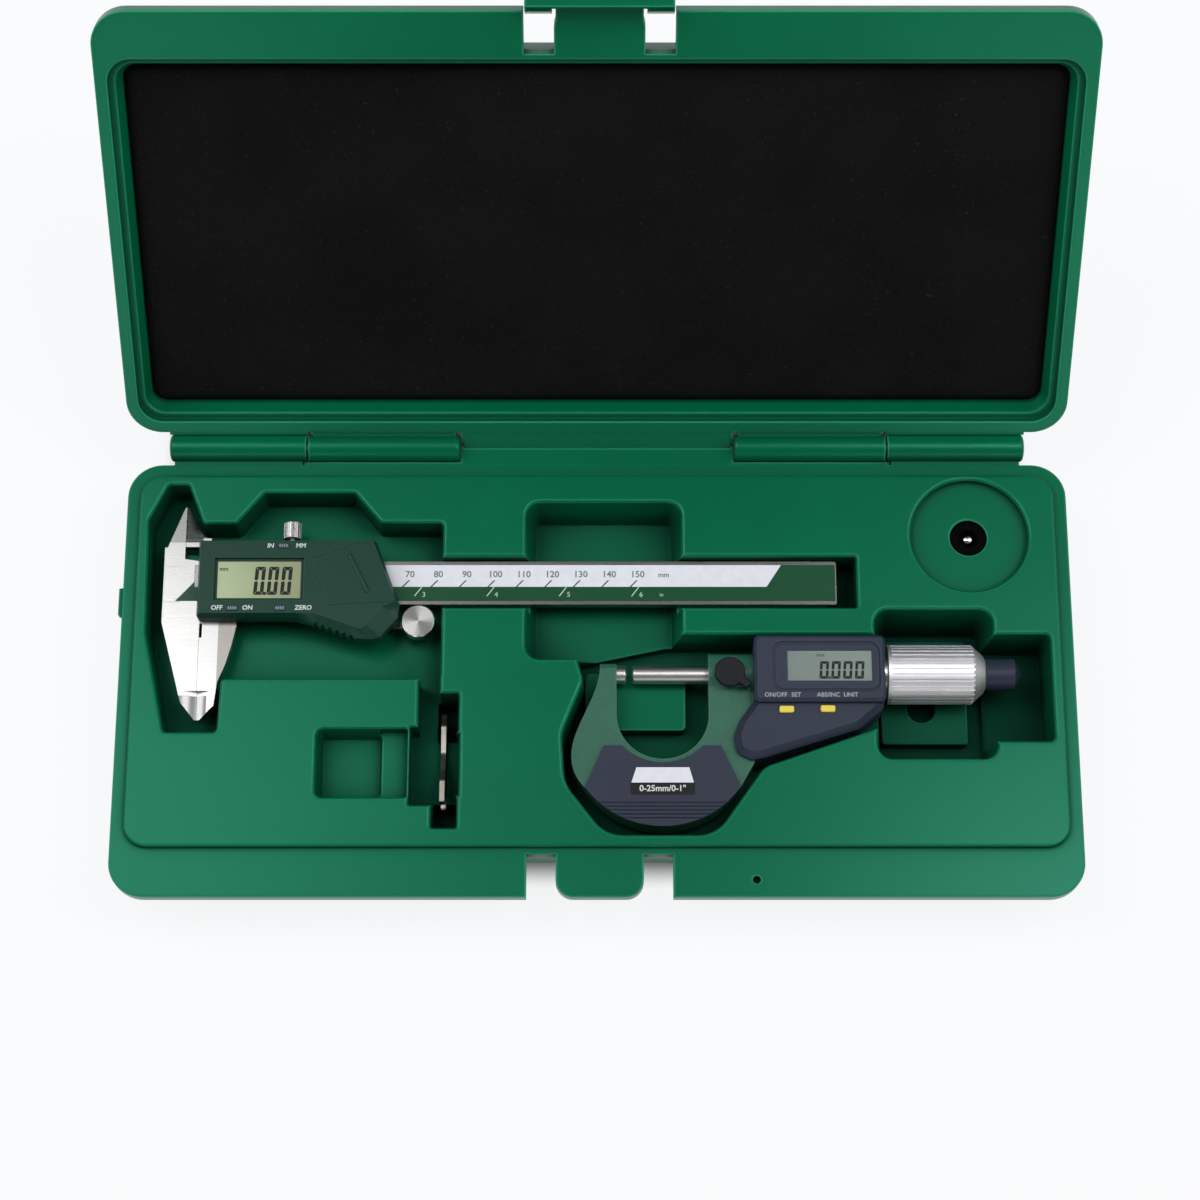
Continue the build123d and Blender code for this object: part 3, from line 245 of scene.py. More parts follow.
def edge_group():
    """Soft shading of edges, and a mask of where they are."""
    group, entry, leave = new_group(
        "soft_edges", [("Radius", "NodeSocketFloat", 0.0005)],
        [("Normal", "NodeSocketVector"), ("Edge", "NodeSocketFloat")])
    bevel = group.nodes.new("ShaderNodeBevel")
    bevel.samples = edge_samples
    join(group, entry, "Radius", bevel, "Radius")
    face = group.nodes.new("ShaderNodeNewGeometry")
    likeness = group.nodes.new("ShaderNodeVectorMath")
    likeness.operation = "DOT_PRODUCT"
    join(group, bevel, "Normal", likeness, 0)
    join(group, face, "Normal", likeness, 1)
    edge = ramp(group, likeness.outputs["Value"], 0.86, 0.999, 1.0, 0.0)
    join(group, bevel, "Normal", leave, "Normal")
    group.links.new(edge, leave.inputs["Edge"])
    return group


def grain_group():
    """Fine skin of moulded or painted surfaces, as height and as a speckle mask."""
    group, entry, leave = new_group(
        "fine_grain", [("Scale", "NodeSocketFloat", 1500.0)],
        [("Height", "NodeSocketFloat"), ("Speckle", "NodeSocketFloat")])
    fine = noise(group, entry.outputs["Scale"], 2.0, 0.6)
    coarse = noise(group, product(group, entry.outputs["Scale"], 0.23), 2.0, 0.5)
    group.links.new(math_node(group, "ADD", fine, coarse), leave.inputs["Height"])
    group.links.new(ramp(group, fine, 0.62, 0.74), leave.inputs["Speckle"])
    return group


def brush_group():
    """Long fine strokes of a ground or brushed metal; Stretch gives their scale along each axis."""
    group, entry, leave = new_group(
        "brushed_strokes", [("Stretch", "NodeSocketVector", (40.0, 4000.0, 4000.0))],
        [("Height", "NodeSocketFloat"), ("Streak", "NodeSocketFloat")])
    place = group.nodes.new("ShaderNodeTexCoord")
    stretched = group.nodes.new("ShaderNodeVectorMath")
    stretched.operation = "MULTIPLY"
    join(group, place, "Object", stretched, 0)
    join(group, entry, "Stretch", stretched, 1)
    strokes = noise(group, 1.0, 3.0, 0.6, stretched.outputs["Vector"])
    group.links.new(strokes, leave.inputs["Height"])
    group.links.new(ramp(group, strokes, 0.3, 0.7), leave.inputs["Streak"])
    return group


def shelter_group():
    """How far a surface lies sheltered in a recess of its own piece; 0 in the open, 1 deep in a corner."""
    group, entry, leave = new_group(
        "sheltered",
        [("Distance", "NodeSocketFloat", 0.003), ("Low", "NodeSocketFloat", 0.4), ("High", "NodeSocketFloat", 0.95)],
        [("Sheltered", "NodeSocketFloat")])
    open_air = group.nodes.new("ShaderNodeAmbientOcclusion")
    open_air.only_local = True
    open_air.samples = shelter_samples
    join(group, entry, "Distance", open_air, "Distance")
    sheltered = ramp(group, open_air.outputs["AO"], 0.0, 1.0, 1.0, 0.0)
    sheltered.node.interpolation_type = "LINEAR"
    join(group, entry, "Low", sheltered.node, "From Min")
    join(group, entry, "High", sheltered.node, "From Max")
    group.links.new(sheltered, leave.inputs["Sheltered"])
    return group


groups = {make.__name__: make() for make in (tone_group, edge_group, grain_group, brush_group, shelter_group)}


# ---------------------------------------------------------------- materials
class Finish:
    """A material under construction: its tree, its Principled shader and its colour so far."""

    def __init__(self, name, colour, roughness, metallic=0.0):
        self.material = bpy.data.materials.new(name)
        self.material.use_nodes = True
        self.tree = self.material.node_tree
        self.shader = self.tree.nodes["Principled BSDF"]
        self.set("Base Color", (*colour, 1.0))
        self.set("Roughness", roughness)
        self.set("Metallic", metallic)
        self.colour = None

    def set(self, field, value):
        self.shader.inputs[field].default_value = value

    def coat(self, weight, roughness):
        """Clear coat over the finish."""
        self.set("Coat Weight", weight)
        self.set("Coat Roughness", roughness)

    def place(self, group, **values):
        """Places a shader group in the material and gives its outputs."""
        node = self.tree.nodes.new("ShaderNodeGroup")
        node.node_tree = groups[group]
        for label, value in values.items():
            node.inputs[label.replace("_", " ").title()].default_value = value
        return node.outputs

    def paint(self, socket):
        """Makes a colour output the base colour."""
        self.tree.links.new(socket, self.shader.inputs["Base Color"])
        self.colour = socket

    def clouds(self, colour, other, scale):
        """Starts the base colour as a slow drift between two tones."""
        tone = self.place("tone_group", colour=(*colour, 1), other_colour=(*other, 1), scale=scale)
        self.paint(tone["Colour"])

    def tint(self, mask, colour, share):
        """Covers the base colour with another one where the mask is 1, by a share."""
        self.paint(mix_colours(self.tree, product(self.tree, mask, share), self.colour, colour))

    def worn_edges(self, radius, colour, share):
        """Rounds the shading at edges and paints a lighter highlight on them."""
        edges = self.place("edge_group", radius=radius)
        self.tint(edges["Edge"], colour, share)
        return edges["Normal"]

    def bump(self, height, distance, strength, normal=None):
        node = self.tree.nodes.new("ShaderNodeBump")
        node.inputs["Strength"].default_value = strength
        node.inputs["Distance"].default_value = distance
        self.tree.links.new(height, node.inputs["Height"])
        if normal is not None:
            self.tree.links.new(normal, node.inputs["Normal"])
        self.tree.links.new(node.outputs["Normal"], self.shader.inputs["Normal"])

    def vary_roughness(self, mask, low, high):
        self.tree.links.new(ramp(self.tree, mask, 0.0, 1.0, low, high), self.shader.inputs["Roughness"])


def moulded_plastic(name, colour, other, edge_colour, roughness, edge_radius, edge_share=0.35, grain=1400.0,
                    grain_depth=0.012 * mm, gloss=0.2):
    """Satin moulded plastic: soft tone, fine skin, a painted highlight on its edges and painted shade in its
    grooves.
    """
    finish = Finish(name, colour, roughness)
    finish.set("Specular IOR Level", gloss)
    finish.clouds(colour, other, broad_clouds)
    # painted highlight on the edges, in the lighter edge colour
    normal = finish.worn_edges(edge_radius, edge_colour, edge_share)
    # painted shade in the grooves and steps of the piece
    grooves = finish.place("shelter_group", distance=groove_reach, low=0.4, high=0.92)
    finish.tint(grooves["Sheltered"], tuple(part * 0.15 for part in colour), 0.8)
    skin = finish.place("grain_group", scale=grain)
    finish.tint(skin["Speckle"], edge_colour, 0.05)
    finish.bump(skin["Height"], grain_depth, 0.6, normal)
    finish.vary_roughness(skin["Speckle"], roughness, roughness + 0.08)
    return finish


def ground_metal(name, colour, other, roughness, stretch, depth=0.002 * mm, stroke_share=0.3, spread=0.04):
    """Ground or brushed metal with fine strokes along one direction and a painted highlight on its edges."""
    finish = Finish(name, colour, roughness, 1.0)
    finish.clouds(colour, other, 30.0)
    strokes = finish.place("brush_group", stretch=stretch)
    # painted highlight on the edges
    normal = finish.worn_edges(metal_edge, (0.95, 0.95, 0.94), 0.3)
    finish.tint(strokes["Streak"], other, stroke_share)
    finish.bump(strokes["Height"], depth, 0.5, normal)
    finish.vary_roughness(strokes["Streak"], roughness - spread, roughness + spread)
    return finish


def deep_in_tray(tree):
    """Mask of the painted shade on the tray's floors: 1 on the lowest floors between the tray's walls, 0 on the high
    ones and on the case's outer walls.
    """
    height = along(tree, "Z")
    return product(
        tree,
        between(tree, along(tree, "X"), tray_low.x + tray_wall, tray_high.x - tray_wall),
        between(tree, along(tree, "Y"), tray_low.y + tray_front_wall, tray_high.y - tray_wall),
        between(tree, height, dark_floor / 2, pale_floor),
        ramp(tree, height, dark_floor, pale_floor, 1.0, 0.0))


def green_case_plastic():
    """Green of the case: satin, with a painted highlight on its soft rims, and painted shade that makes it darker
    deep in its recesses, where it is also duller.
    """
    finish = Finish("green_case", (0.0, 0.12, 0.048), 0.27)
    finish.set("Specular IOR Level", 0.38)
    finish.set("Specular Tint", (0.25, 1.0, 0.75, 1.0))
    finish.clouds((0.0, 0.116, 0.046), (0.0, 0.102, 0.040), broad_clouds)
    sheltered = finish.place("shelter_group", distance=recess_reach, low=0.38, high=0.97)["Sheltered"]
    edges = finish.place("edge_group", radius=1.3 * mm)
    in_the_open = math_node(finish.tree, "SUBTRACT", 1.0, sheltered, clamp=True)
    # painted highlight on the rims that lie in the open
    finish.tint(product(finish.tree, edges["Edge"], in_the_open), (0.03, 0.34, 0.20), 0.9)
    # painted shade in the recesses, darker the narrower they are
    finish.tint(sheltered, (0.0, 0.016, 0.008), 0.85)
    # painted shade on the deep floors of the tray
    deep = deep_in_tray(finish.tree)
    finish.tint(deep, (0.0, 0.012, 0.006), 0.8)
    skin = finish.place("grain_group", scale=900.0)
    finish.tint(skin["Speckle"], (0.012, 0.27, 0.15), 0.012)
    finish.bump(skin["Height"], 0.016 * mm, 0.6, edges["Normal"])
    finish.vary_roughness(math_node(finish.tree, "MAXIMUM", sheltered, deep), 0.28, 0.8)
    return finish


def slate_plastic():
    """Housing, grip plates, ratchet and battery cap of the micrometer."""
    return moulded_plastic("slate_plastic", (0.028, 0.036, 0.062), (0.023, 0.030, 0.052), (0.12, 0.15, 0.22),
                           0.42, 0.5 * mm, edge_share=0.4)


def dark_green_plastic():
    """Housing and battery cover of the caliper."""
    return moulded_plastic("dark_green_shell", (0.006, 0.045, 0.028), (0.005, 0.038, 0.024), (0.06, 0.19, 0.13),
                           0.40, 0.5 * mm, edge_share=0.5)


def button_plastic():
    """Dark buttons of the caliper."""
    return moulded_plastic("dark_button", (0.035, 0.065, 0.085), (0.028, 0.052, 0.07), (0.13, 0.2, 0.25),
                           0.36, 0.2 * mm, edge_share=0.4)


def lever_plastic():
    """Lock lever of the micrometer."""
    return moulded_plastic("black_lever", (0.006, 0.007, 0.012), (0.004, 0.005, 0.009), (0.05, 0.06, 0.09),
                           0.38, 0.4 * mm, edge_share=0.4)


def yellow_plastic():
    """Bright buttons of the micrometer."""
    return moulded_plastic("yellow_button", (0.80, 0.66, 0.10), (0.72, 0.57, 0.06), (0.95, 0.9, 0.45),
                           0.3, 0.3 * mm, edge_share=0.5)


def black_rubber():
    """Rubber holder of the ball attachment, almost without gloss."""
    return moulded_plastic("black_rubber", (0.0008, 0.001, 0.001), (0.0012, 0.0014, 0.0014), (0.008, 0.01, 0.01),
                           0.5, 0.3 * mm, edge_share=0.15, gloss=0.02)


def board_plastic():
    """Plastic of the micrometer's encoder disc."""
    return moulded_plastic("circuit_plastic", (0.05, 0.2, 0.1), (0.04, 0.16, 0.08), (0.2, 0.4, 0.3), 0.4, 0.2 * mm)


def hammered_paint():
    """Stoved paint of the bow: grey-green with a fine hammered figure."""
    finish = Finish("painted_frame", (0.02, 0.12, 0.072), 0.4)
    finish.set("Specular IOR Level", 0.25)
    finish.clouds((0.019, 0.108, 0.066), (0.016, 0.094, 0.058), 60.0)
    place = finish.tree.nodes.new("ShaderNodeTexCoord")
    cells = finish.tree.nodes.new("ShaderNodeTexVoronoi")
    cells.feature = "SMOOTH_F1"
    cells.inputs["Scale"].default_value = 2300.0
    cells.inputs["Smoothness"].default_value = 0.6
    join(finish.tree, place, "Object", cells, "Vector")
    figure = cells.outputs["Distance"]
    finish.tint(ramp(finish.tree, figure, 0.15, 0.6), (0.05, 0.17, 0.118), 0.4)
    # painted highlight on the edges
    normal = finish.worn_edges(0.4 * mm, (0.25, 0.42, 0.34), 0.5)
    finish.bump(figure, 0.035 * mm, 0.45, normal)
    finish.coat(0.08, 0.2)
    return finish


def steel(name="tool_steel"):
    """Ground steel of the caliper, its strokes along the beam."""
    return ground_metal(name, (0.44, 0.44, 0.435), (0.41, 0.41, 0.405), 0.28, (60.0, 1500.0, 1500.0),
                        depth=0.0001 * mm, stroke_share=0.06, spread=0.01)


def jaw_steel(name, knife_reach, knife_reflection):
    """Steel of one caliper jaw: a painted reflection on its knife edge above, a painted sheen across its tip below,
    and the dark edges of the beam.
    """
    finish = steel(name)
    tree, left = finish.tree, beam_low.x
    x, y = along(tree, "X"), along(tree, "Y")
    knife = product(tree, between(tree, x, left - past_end, left + knife_reach),
                    between(tree, y, caliper_place.y + knife_height, beam_high.y + past_end))
    # painted reflection: the ground facet of the knife edge shown darker
    finish.tint(knife, knife_reflection, 0.9)
    finish.tint(between(tree, x, left + plain_beam, beam_high.x + past_end), (0.20, 0.19, 0.175), 0.9)
    # painted sheen: lighter and darker bands across the ground tip
    tip = product(tree, between(tree, x, left + tip_left, left + tip_left + tip_width),
                  between(tree, y, beam_low.y - past_end, beam_low.y + tip_height))
    from_left = math_node(tree, "SUBTRACT", x, left + tip_left)
    wave = math_node(tree, "COSINE", product(tree, from_left, 4 * math.pi / tip_width))
    sheen = mix_colours(tree, ramp(tree, wave, -1.0, 1.0), (0.34, 0.34, 0.335), (0.08, 0.085, 0.09))
    finish.tint(tip, sheen, 0.9)
    return finish


def turned_steel():
    """Bright turned steel; its strokes run round the X axis."""
    return ground_metal("turned_steel", (0.80, 0.80, 0.79), (0.78, 0.78, 0.77), 0.3, (5000.0, 100.0, 100.0),
                        depth=0.00002 * mm, stroke_share=0.05, spread=0.005)


def aluminium():
    """Clean satin aluminium of the thimble, with faint turning marks round its axis."""
    finish = Finish("satin_aluminium", (0.83, 0.83, 0.85), 0.5, 1.0)
    finish.clouds((0.83, 0.83, 0.85), (0.80, 0.80, 0.82), 60.0)
    strokes = finish.place("brush_group", stretch=(3500.0, 100.0, 100.0))
    finish.tint(strokes["Streak"], (0.74, 0.74, 0.76), 0.15)
    finish.vary_roughness(strokes["Streak"], 0.48, 0.54)
    return finish


def pin_steel():
    """Drawn steel of the pins and the battery cans."""
    return ground_metal("pin_steel", (0.62, 0.62, 0.61), (0.5, 0.5, 0.49), 0.3, (3000.0, 300.0, 300.0))


def spanner_steel():
    """Dark steel of the spanner."""
    return ground_metal("dark_steel", (0.62, 0.6, 0.54), (0.25, 0.24, 0.21), 0.34, (500.0, 300.0, 900.0))


def ball_steel():
    """Polished steel of the ball attachment."""
    return ground_metal("polished_ball", (0.9, 0.9, 0.9), (0.86, 0.86, 0.86), 0.1, (900.0, 900.0, 900.0))


def roller_steel():
    """Face of the thumb roller, turned from its centre, with a painted reflection whose brightness fans out round
    it.
    """
    finish = Finish("roller_steel", (0.5, 0.5, 0.48), 0.26, 1.0)
    tree = finish.tree
    low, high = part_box("caliper_thumb_roller")
    place = tree.nodes.new("ShaderNodeTexCoord")
    from_centre = tree.nodes.new("ShaderNodeVectorMath")
    from_centre.operation = "SUBTRACT"
    from_centre.inputs[1].default_value = (low + high) / 2
    join(tree, place, "Object", from_centre, 0)
    split = tree.nodes.new("ShaderNodeSeparateXYZ")
    join(tree, from_centre, "Vector", split, 0)
    # painted reflection: light and dark sectors fanning round the centre
    angle = math_node(tree, "ARCTAN2", split.outputs["Y"], split.outputs["X"])
    fan = math_node(tree, "SINE", product(tree, angle, 2.0))
    finish.paint(mix_colours(tree, ramp(tree, fan, -1.0, 1.0), (0.22, 0.22, 0.21), (0.62, 0.62, 0.61)))
    radius = tree.nodes.new("ShaderNodeVectorMath")
    radius.operation = "LENGTH"
    join(tree, from_centre, "Vector", radius, 0)
    rings = math_node(tree, "SINE", product(tree, radius.outputs["Value"], ring_rate))
    # painted highlight on the edges
    normal = finish.worn_edges(0.2 * mm, (0.95, 0.95, 0.95), 0.4)
    finish.bump(rings, 0.004 * mm, 0.4, normal)
    return finish


def strip_green():
    """Green enamel of the scale strip, under a thin clear coat."""
    finish = moulded_plastic("green_scale", (0.004, 0.066, 0.026), (0.003, 0.060, 0.023), (0.05, 0.2, 0.1), 0.35,
                             0.1 * mm, edge_share=0.2, grain=2500.0, grain_depth=0.002 * mm)
    finish.coat(0.1, 0.15)
    return finish


def display_glass(name, colour, other):
    """Reflective back of a liquid crystal display under its clear window."""
    finish = Finish(name, colour, 0.3)
    finish.clouds(colour, other, 40.0)
    skin = finish.place("grain_group", scale=6000.0)
    finish.bump(skin["Height"], 0.001 * mm, 0.3)
    finish.coat(0.25, 0.06)
    return finish


def olive_display():
    """Display of the caliper: greener and paler towards its left end."""
    finish = display_glass("olive_display", (0.36, 0.42, 0.22), (0.28, 0.33, 0.17))
    low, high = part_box("caliper_display")
    leftward = ramp(finish.tree, along(finish.tree, "X"), low.x, high.x, 0.75, 0.0)
    shade = mix_colours(finish.tree, leftward, (0.22, 0.25, 0.13), (0.42, 0.53, 0.31))
    finish.paint(mix_colours(finish.tree, 0.75, finish.colour, shade))
    return finish


def ink(name, colour, roughness=0.45):
    """Printed ink, and the segments of the displays."""
    finish = Finish(name, colour, roughness)
    finish.set("Specular IOR Level", 0.15)
    finish.clouds(colour, tuple(part * 1.05 for part in colour), 300.0)
    skin = finish.place("grain_group", scale=5000.0)
    finish.bump(skin["Height"], 0.002 * mm, 0.4)
    return finish


def foam_material():
    """Black open-cell foam with pale dust in its cells."""
    finish = Finish("black_foam", (0.006, 0.006, 0.006), 0.95)
    finish.clouds((0.0035, 0.0035, 0.0038), (0.005, 0.005, 0.0054), 25.0)
    cells = finish.place("grain_group", scale=900.0)
    finish.tint(cells["Speckle"], (0.03, 0.03, 0.03), 0.5)
    finish.bump(cells["Height"], 0.35 * mm, 0.8)
    finish.set("Specular IOR Level", 0.1)
    return finish


finishes = {
    "green_case": green_case_plastic(), "black_foam": foam_material(), "pin_steel": pin_steel(),
    "tool_steel": steel(), "green_scale": strip_green(), "dark_green_shell": dark_green_plastic(),
    "dark_button": button_plastic(), "painted_frame": hammered_paint(), "slate_plastic": slate_plastic(),
    "black_label": ink("black_label", (0.012, 0.012, 0.013), 0.35), "satin_chrome": turned_steel(),
    "circuit_plastic": board_plastic(), "satin_aluminium": aluminium(), "yellow_button": yellow_plastic(),
    "dark_steel": spanner_steel(), "black_rubber": black_rubber(), "polished_ball": ball_steel(),
}
own_finishes = {
    "caliper_display": olive_display(),
    "micrometer_display": display_glass("grey_display", (0.17, 0.215, 0.20), (0.19, 0.24, 0.225)),
    # the last colour of each jaw is the painted reflection on its knife edge
    "caliper_beam": jaw_steel("fixed_jaw_steel", fixed_knife_reach, (0.22, 0.24, 0.22)),
    "caliper_slider": jaw_steel("moving_jaw_steel", moving_knife_reach, (0.02, 0.03, 0.025)),
    "caliper_thumb_roller": roller_steel(),
    "micrometer_spindle": finishes["satin_chrome"], "micrometer_anvil": finishes["satin_chrome"],
    "micrometer_lock_lever": lever_plastic(),
}
dark_segments = ink("display_segments", (0.012, 0.018, 0.014), 0.3)
faint_segments = ink("faint_segments", (0.05, 0.07, 0.06), 0.3)
white_ink = ink("white_ink", (0.62, 0.66, 0.66))
pale_ink = ink("pale_ink", (0.30, 0.33, 0.38))
grey_ink = ink("grey_ink", (0.17, 0.20, 0.21))
mark_ink = ink("mark_ink", (0.03, 0.05, 0.04))
inch_ink = ink("inch_ink", (0.45, 0.6, 0.5))
band_white = ink("white_band", (0.70, 0.72, 0.78), 0.35)


def dress_nodes():
    """Gives each CAD node the finish of its slot, or its own."""
    for entry in frame["record"]["subparts"]:
        node = frame["nodes"][entry["node"]]
        finish = own_finishes.get(entry["node"]) or finishes[entry["material_slot"]]
        node.data.materials.clear()
        node.data.materials.append(finish.material)


# ---------------------------------------------------------------- making pieces
def mesh_of(form, name):
    """Mesh of a form that is ready."""
    mesh = bpy.data.meshes.new(name)
    form.to_mesh(mesh)
    form.free()
    return mesh


def piece(name, mesh, finish, body):
    """Links a mesh as a piece that rides on a body."""
    made = bpy.data.objects.new(name, mesh)
    bpy.context.scene.collection.objects.link(made)
    mesh.materials.append(finish.material)
    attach(made, body)
    return made


def over(origin, node):
    """Point over a tool's origin, on the front face of one of its nodes."""
    return Vector((origin.x, origin.y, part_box(node)[1].z))


def walls(form, outline, other):
    """Faces between two closed outlines of as many points."""
    for index in range(len(outline)):
        after = (index + 1) % len(outline)
        form.faces.new((outline[index], outline[after], other[after], other[index]))


def plates(outlines, place, thick=print_thick):
    """Mesh of thin flat plates, each from an outline of (x, y) in millimetres, standing on the plane at place."""
    form = bmesh.new()
    for outline in outlines:
        low = [form.verts.new((x * mm, y * mm, -print_sink)) for x, y in outline]
        high = [form.verts.new((x * mm, y * mm, thick)) for x, y in outline]
        form.faces.new(high)
        form.faces.new(low[::-1])
        walls(form, low, high)
    bmesh.ops.recalc_face_normals(form, faces=form.faces)
    form.transform(Matrix.Translation(place))
    return mesh_of(form, "plates")


def lettering(words, place, weight=0.02):
    """Mesh of printed words; each is (text, x, y, height, slant) in millimetres from place, centred on x.

    The weight thickens the strokes by a share of the height.
    """
    form = bmesh.new()
    for text, x, y, height, slant in words:
        curve = bpy.data.curves.new("text", "FONT")
        curve.body = text
        curve.size = height * mm
        curve.shear = slant
        curve.align_x = "CENTER"
        curve.align_y = "CENTER"
        curve.extrude = (print_thick + print_sink) / 2
        curve.offset = weight * height * mm
        curve.resolution_u = 3
        source = bpy.data.objects.new("text", curve)
        bpy.context.scene.collection.objects.link(source)
        bpy.context.view_layer.update()
        mesh = bpy.data.meshes.new_from_object(source.evaluated_get(bpy.context.evaluated_depsgraph_get()))
        mesh.transform(Matrix.Translation((x * mm, y * mm, (print_thick - print_sink) / 2)))
        form.from_mesh(mesh)
        bpy.data.objects.remove(source)
        bpy.data.curves.remove(curve)
        bpy.data.meshes.remove(mesh)
    form.transform(Matrix.Translation(place))
    return mesh_of(form, "lettering")


# ---------------------------------------------------------------- display digits
def zero_digit(left, width, height, stroke):
    """Outlines of the six lit segments of a nought that stands on the line y = 0."""
    right, half = left + width, height / 2
    gap, tip = stroke * 0.10, stroke * 0.5
    top = [(left + gap, height), (right - gap, height), (right - stroke, height - stroke),
           (left + stroke, height - stroke)]
    upper_right = [(right, height - gap), (right, half + gap + tip * 0.4), (right - stroke * 0.6, half + gap),
                   (right - stroke, half + gap + tip * 0.8), (right - stroke, height - stroke - gap)]
    lower_right = [(right, gap), (right - stroke, stroke + gap), (right - stroke, half - gap - tip * 0.8),
                   (right - stroke * 0.6, half - gap), (right, half - gap - tip * 0.4)]
    bottom = [(left + gap, 0), (left + stroke, stroke), (right - stroke, stroke), (right - gap, 0)]
    lower_left = [(left, gap), (left, half - gap - tip * 0.4), (left + stroke * 0.6, half - gap),
                  (left + stroke, half - gap - tip * 0.8), (left + stroke, stroke + gap)]
    upper_left = [(left, height - gap), (left + stroke, height - stroke - gap),
                  (left + stroke, half + gap + tip * 0.8), (left + stroke * 0.6, half + gap),
                  (left, half + gap + tip * 0.4)]
    return [top, upper_right, lower_right, bottom, lower_left, upper_left]


def noughts(text, right, low, width, height, stroke, pitch, slant):
    """Outlines of a reading of noughts, set from the right; a point stands before the digit that follows it."""
    outlines = []
    dot = stroke * 0.8
    x = right - width
    for mark in reversed(text):
        if mark == ".":
            left = x + pitch - width * 0.06 - stroke * 0.75
            outlines.append([(left, 0), (left + dot, 0), (left + dot, dot), (left, dot)])
        else:
            outlines += zero_digit(x, width, height, stroke)
            x -= pitch
    lean = math.tan(math.radians(slant))
    return [[(px + py * lean, low + py) for px, py in outline] for outline in outlines]


# ---------------------------------------------------------------- caliper: display, printing, scale
# Places are in millimetres from the beam's left end and from its middle line.
scale_zero = 14.4             # where the first graduation meets the border between white and green
band_left = 11.0
band_right_low, band_right_high = 211.9, 217.1
band_top = 6.6
band_border = -1.45
first_number, last_number, number_step = 70, 150, 10
first_inch, last_inch = 3, 6
inch = 25.4
grip_half_width, grip_half_length, grip_thick = 0.16, 0.5, 0.02 * mm
grip_places = (-1.2, -0.4, 0.4, 1.2)


def caliper_display_marks():
    place = over(caliper_place, "caliper_display")
    digits = noughts("0.00", right=45.4, low=-6.5, width=3.6, height=10.3, stroke=1.3, pitch=4.7, slant=4.0)
    piece("caliper_digits", plates(digits, place), dark_segments, "caliper_carriage")
    unit = lettering([("mm", 22.0, 3.0, 2.0, 0.0)], place)
    piece("caliper_unit_mark", unit, dark_segments, "caliper_carriage")


def caliper_labels():
    place = over(caliper_place, "caliper_housing")
    size, slant, upper, lower = 2.3, 0.1, 11.2, -11.6
    words = [("IN", 38.1, upper, size, slant), ("MM", 48.7, upper, size, slant),
             ("OFF", 20.1, lower, size, slant), ("ON", 30.8, lower, size, slant),
             ("ZERO", 50.2, lower, size, slant)]
    piece("caliper_labels", lettering(words, place), white_ink, "caliper_carriage")


def button_grips():
    """Four raised bars on each of the caliper's buttons."""
    bars = [[(x - grip_half_width, -grip_half_length), (x + grip_half_width, -grip_half_length),
             (x + grip_half_width, grip_half_length), (x - grip_half_width, grip_half_length)]
            for x in grip_places]
    for name in ("unit_button", "power_button", "zero_button"):
        low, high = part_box("caliper_" + name)
        place = over((low + high) / 2, "caliper_" + name)
        piece(name + "_grips", plates(bars, place, grip_thick), pale_ink, name)


def slanted_stroke(x, y0, y1, lean, width):
    """Graduation from (x, y0) to y1, leaning along x."""
    shift = (y1 - y0) * lean
    return [(x - width / 2, y0), (x + width / 2, y0), (x + shift + width / 2, y1), (x + shift - width / 2, y1)]


def caliper_scale_printing():
    """Millimetres on a white band, and inches below it on the green."""
    place = caliper_place
    above = place + Vector((0, 0, print_thick))
    band = [[(band_left, band_border), (band_right_low, band_border), (band_right_high, band_top),
             (band_left, band_top)]]
    piece("white_band", plates(band, place), band_white, "caliper")
    millimetres = range(first_number, last_number + 1, number_step)
    ticks = [slanted_stroke(scale_zero + n - 0.3, band_border, 0.95, lean=0.95, width=0.6) for n in millimetres]
    piece("millimetre_marks", plates(ticks, above), mark_ink, "caliper")
    right_of_tick, line, size = 2.2, 3.1, 3.3
    numbers = [(str(n), scale_zero + n + right_of_tick, line, size, 0.0) for n in millimetres]
    numbers.append(("mm", 175.8, 2.9, 2.6, 0.0))
    piece("millimetre_numbers", lettering(numbers, above), grey_ink, "caliper")
    inches = range(first_inch, last_inch + 1)
    marks = [slanted_stroke(scale_zero + n * inch - 2.3, -4.9, band_border - 0.1, lean=0.75, width=0.45)
             for n in inches]
    piece("inch_marks", plates(marks, place), inch_ink, "caliper")
    right_of_tick, line, size = 1.0, -4.35, 2.6
    words = [(str(n), scale_zero + n * inch + right_of_tick, line, size, 0.0) for n in inches]
    words.append(("in", 175.0, -4.4, 2.0, 0.0))
    piece("inch_numbers", lettering(words, place, 0.0), inch_ink, "caliper")


# ---------------------------------------------------------------- micrometer: display, printing, label
# Places are in millimetres from the anvil's outer end and from the spindle's axis.
def micrometer_display_marks():
    place = over(micrometer_place, "micrometer_display")
    digits = noughts("0.000", right=91.05, low=-4.6, width=3.1, height=6.3, stroke=0.95, pitch=4.08, slant=4.0)
    piece("micrometer_digits", plates(digits, place), dark_segments, "micrometer")
    unit = lettering([("mm", 76.3, 3.9, 1.8, 0.0)], place)
    piece("micrometer_unit_mark", unit, faint_segments, "micrometer")


def micrometer_labels():
    place = over(micrometer_place, "micrometer_housing")
    size, line = 2.15, -10.5
    words = [("ON/OFF", 60.6, line, size, 0.0), ("SET", 67.6, line, size, 0.0),
             ("ABS/INC", 78.7, line, size, 0.0), ("UNIT", 86.4, line, size, 0.0)]
    piece("micrometer_labels", lettering(words, place), pale_ink, "micrometer")


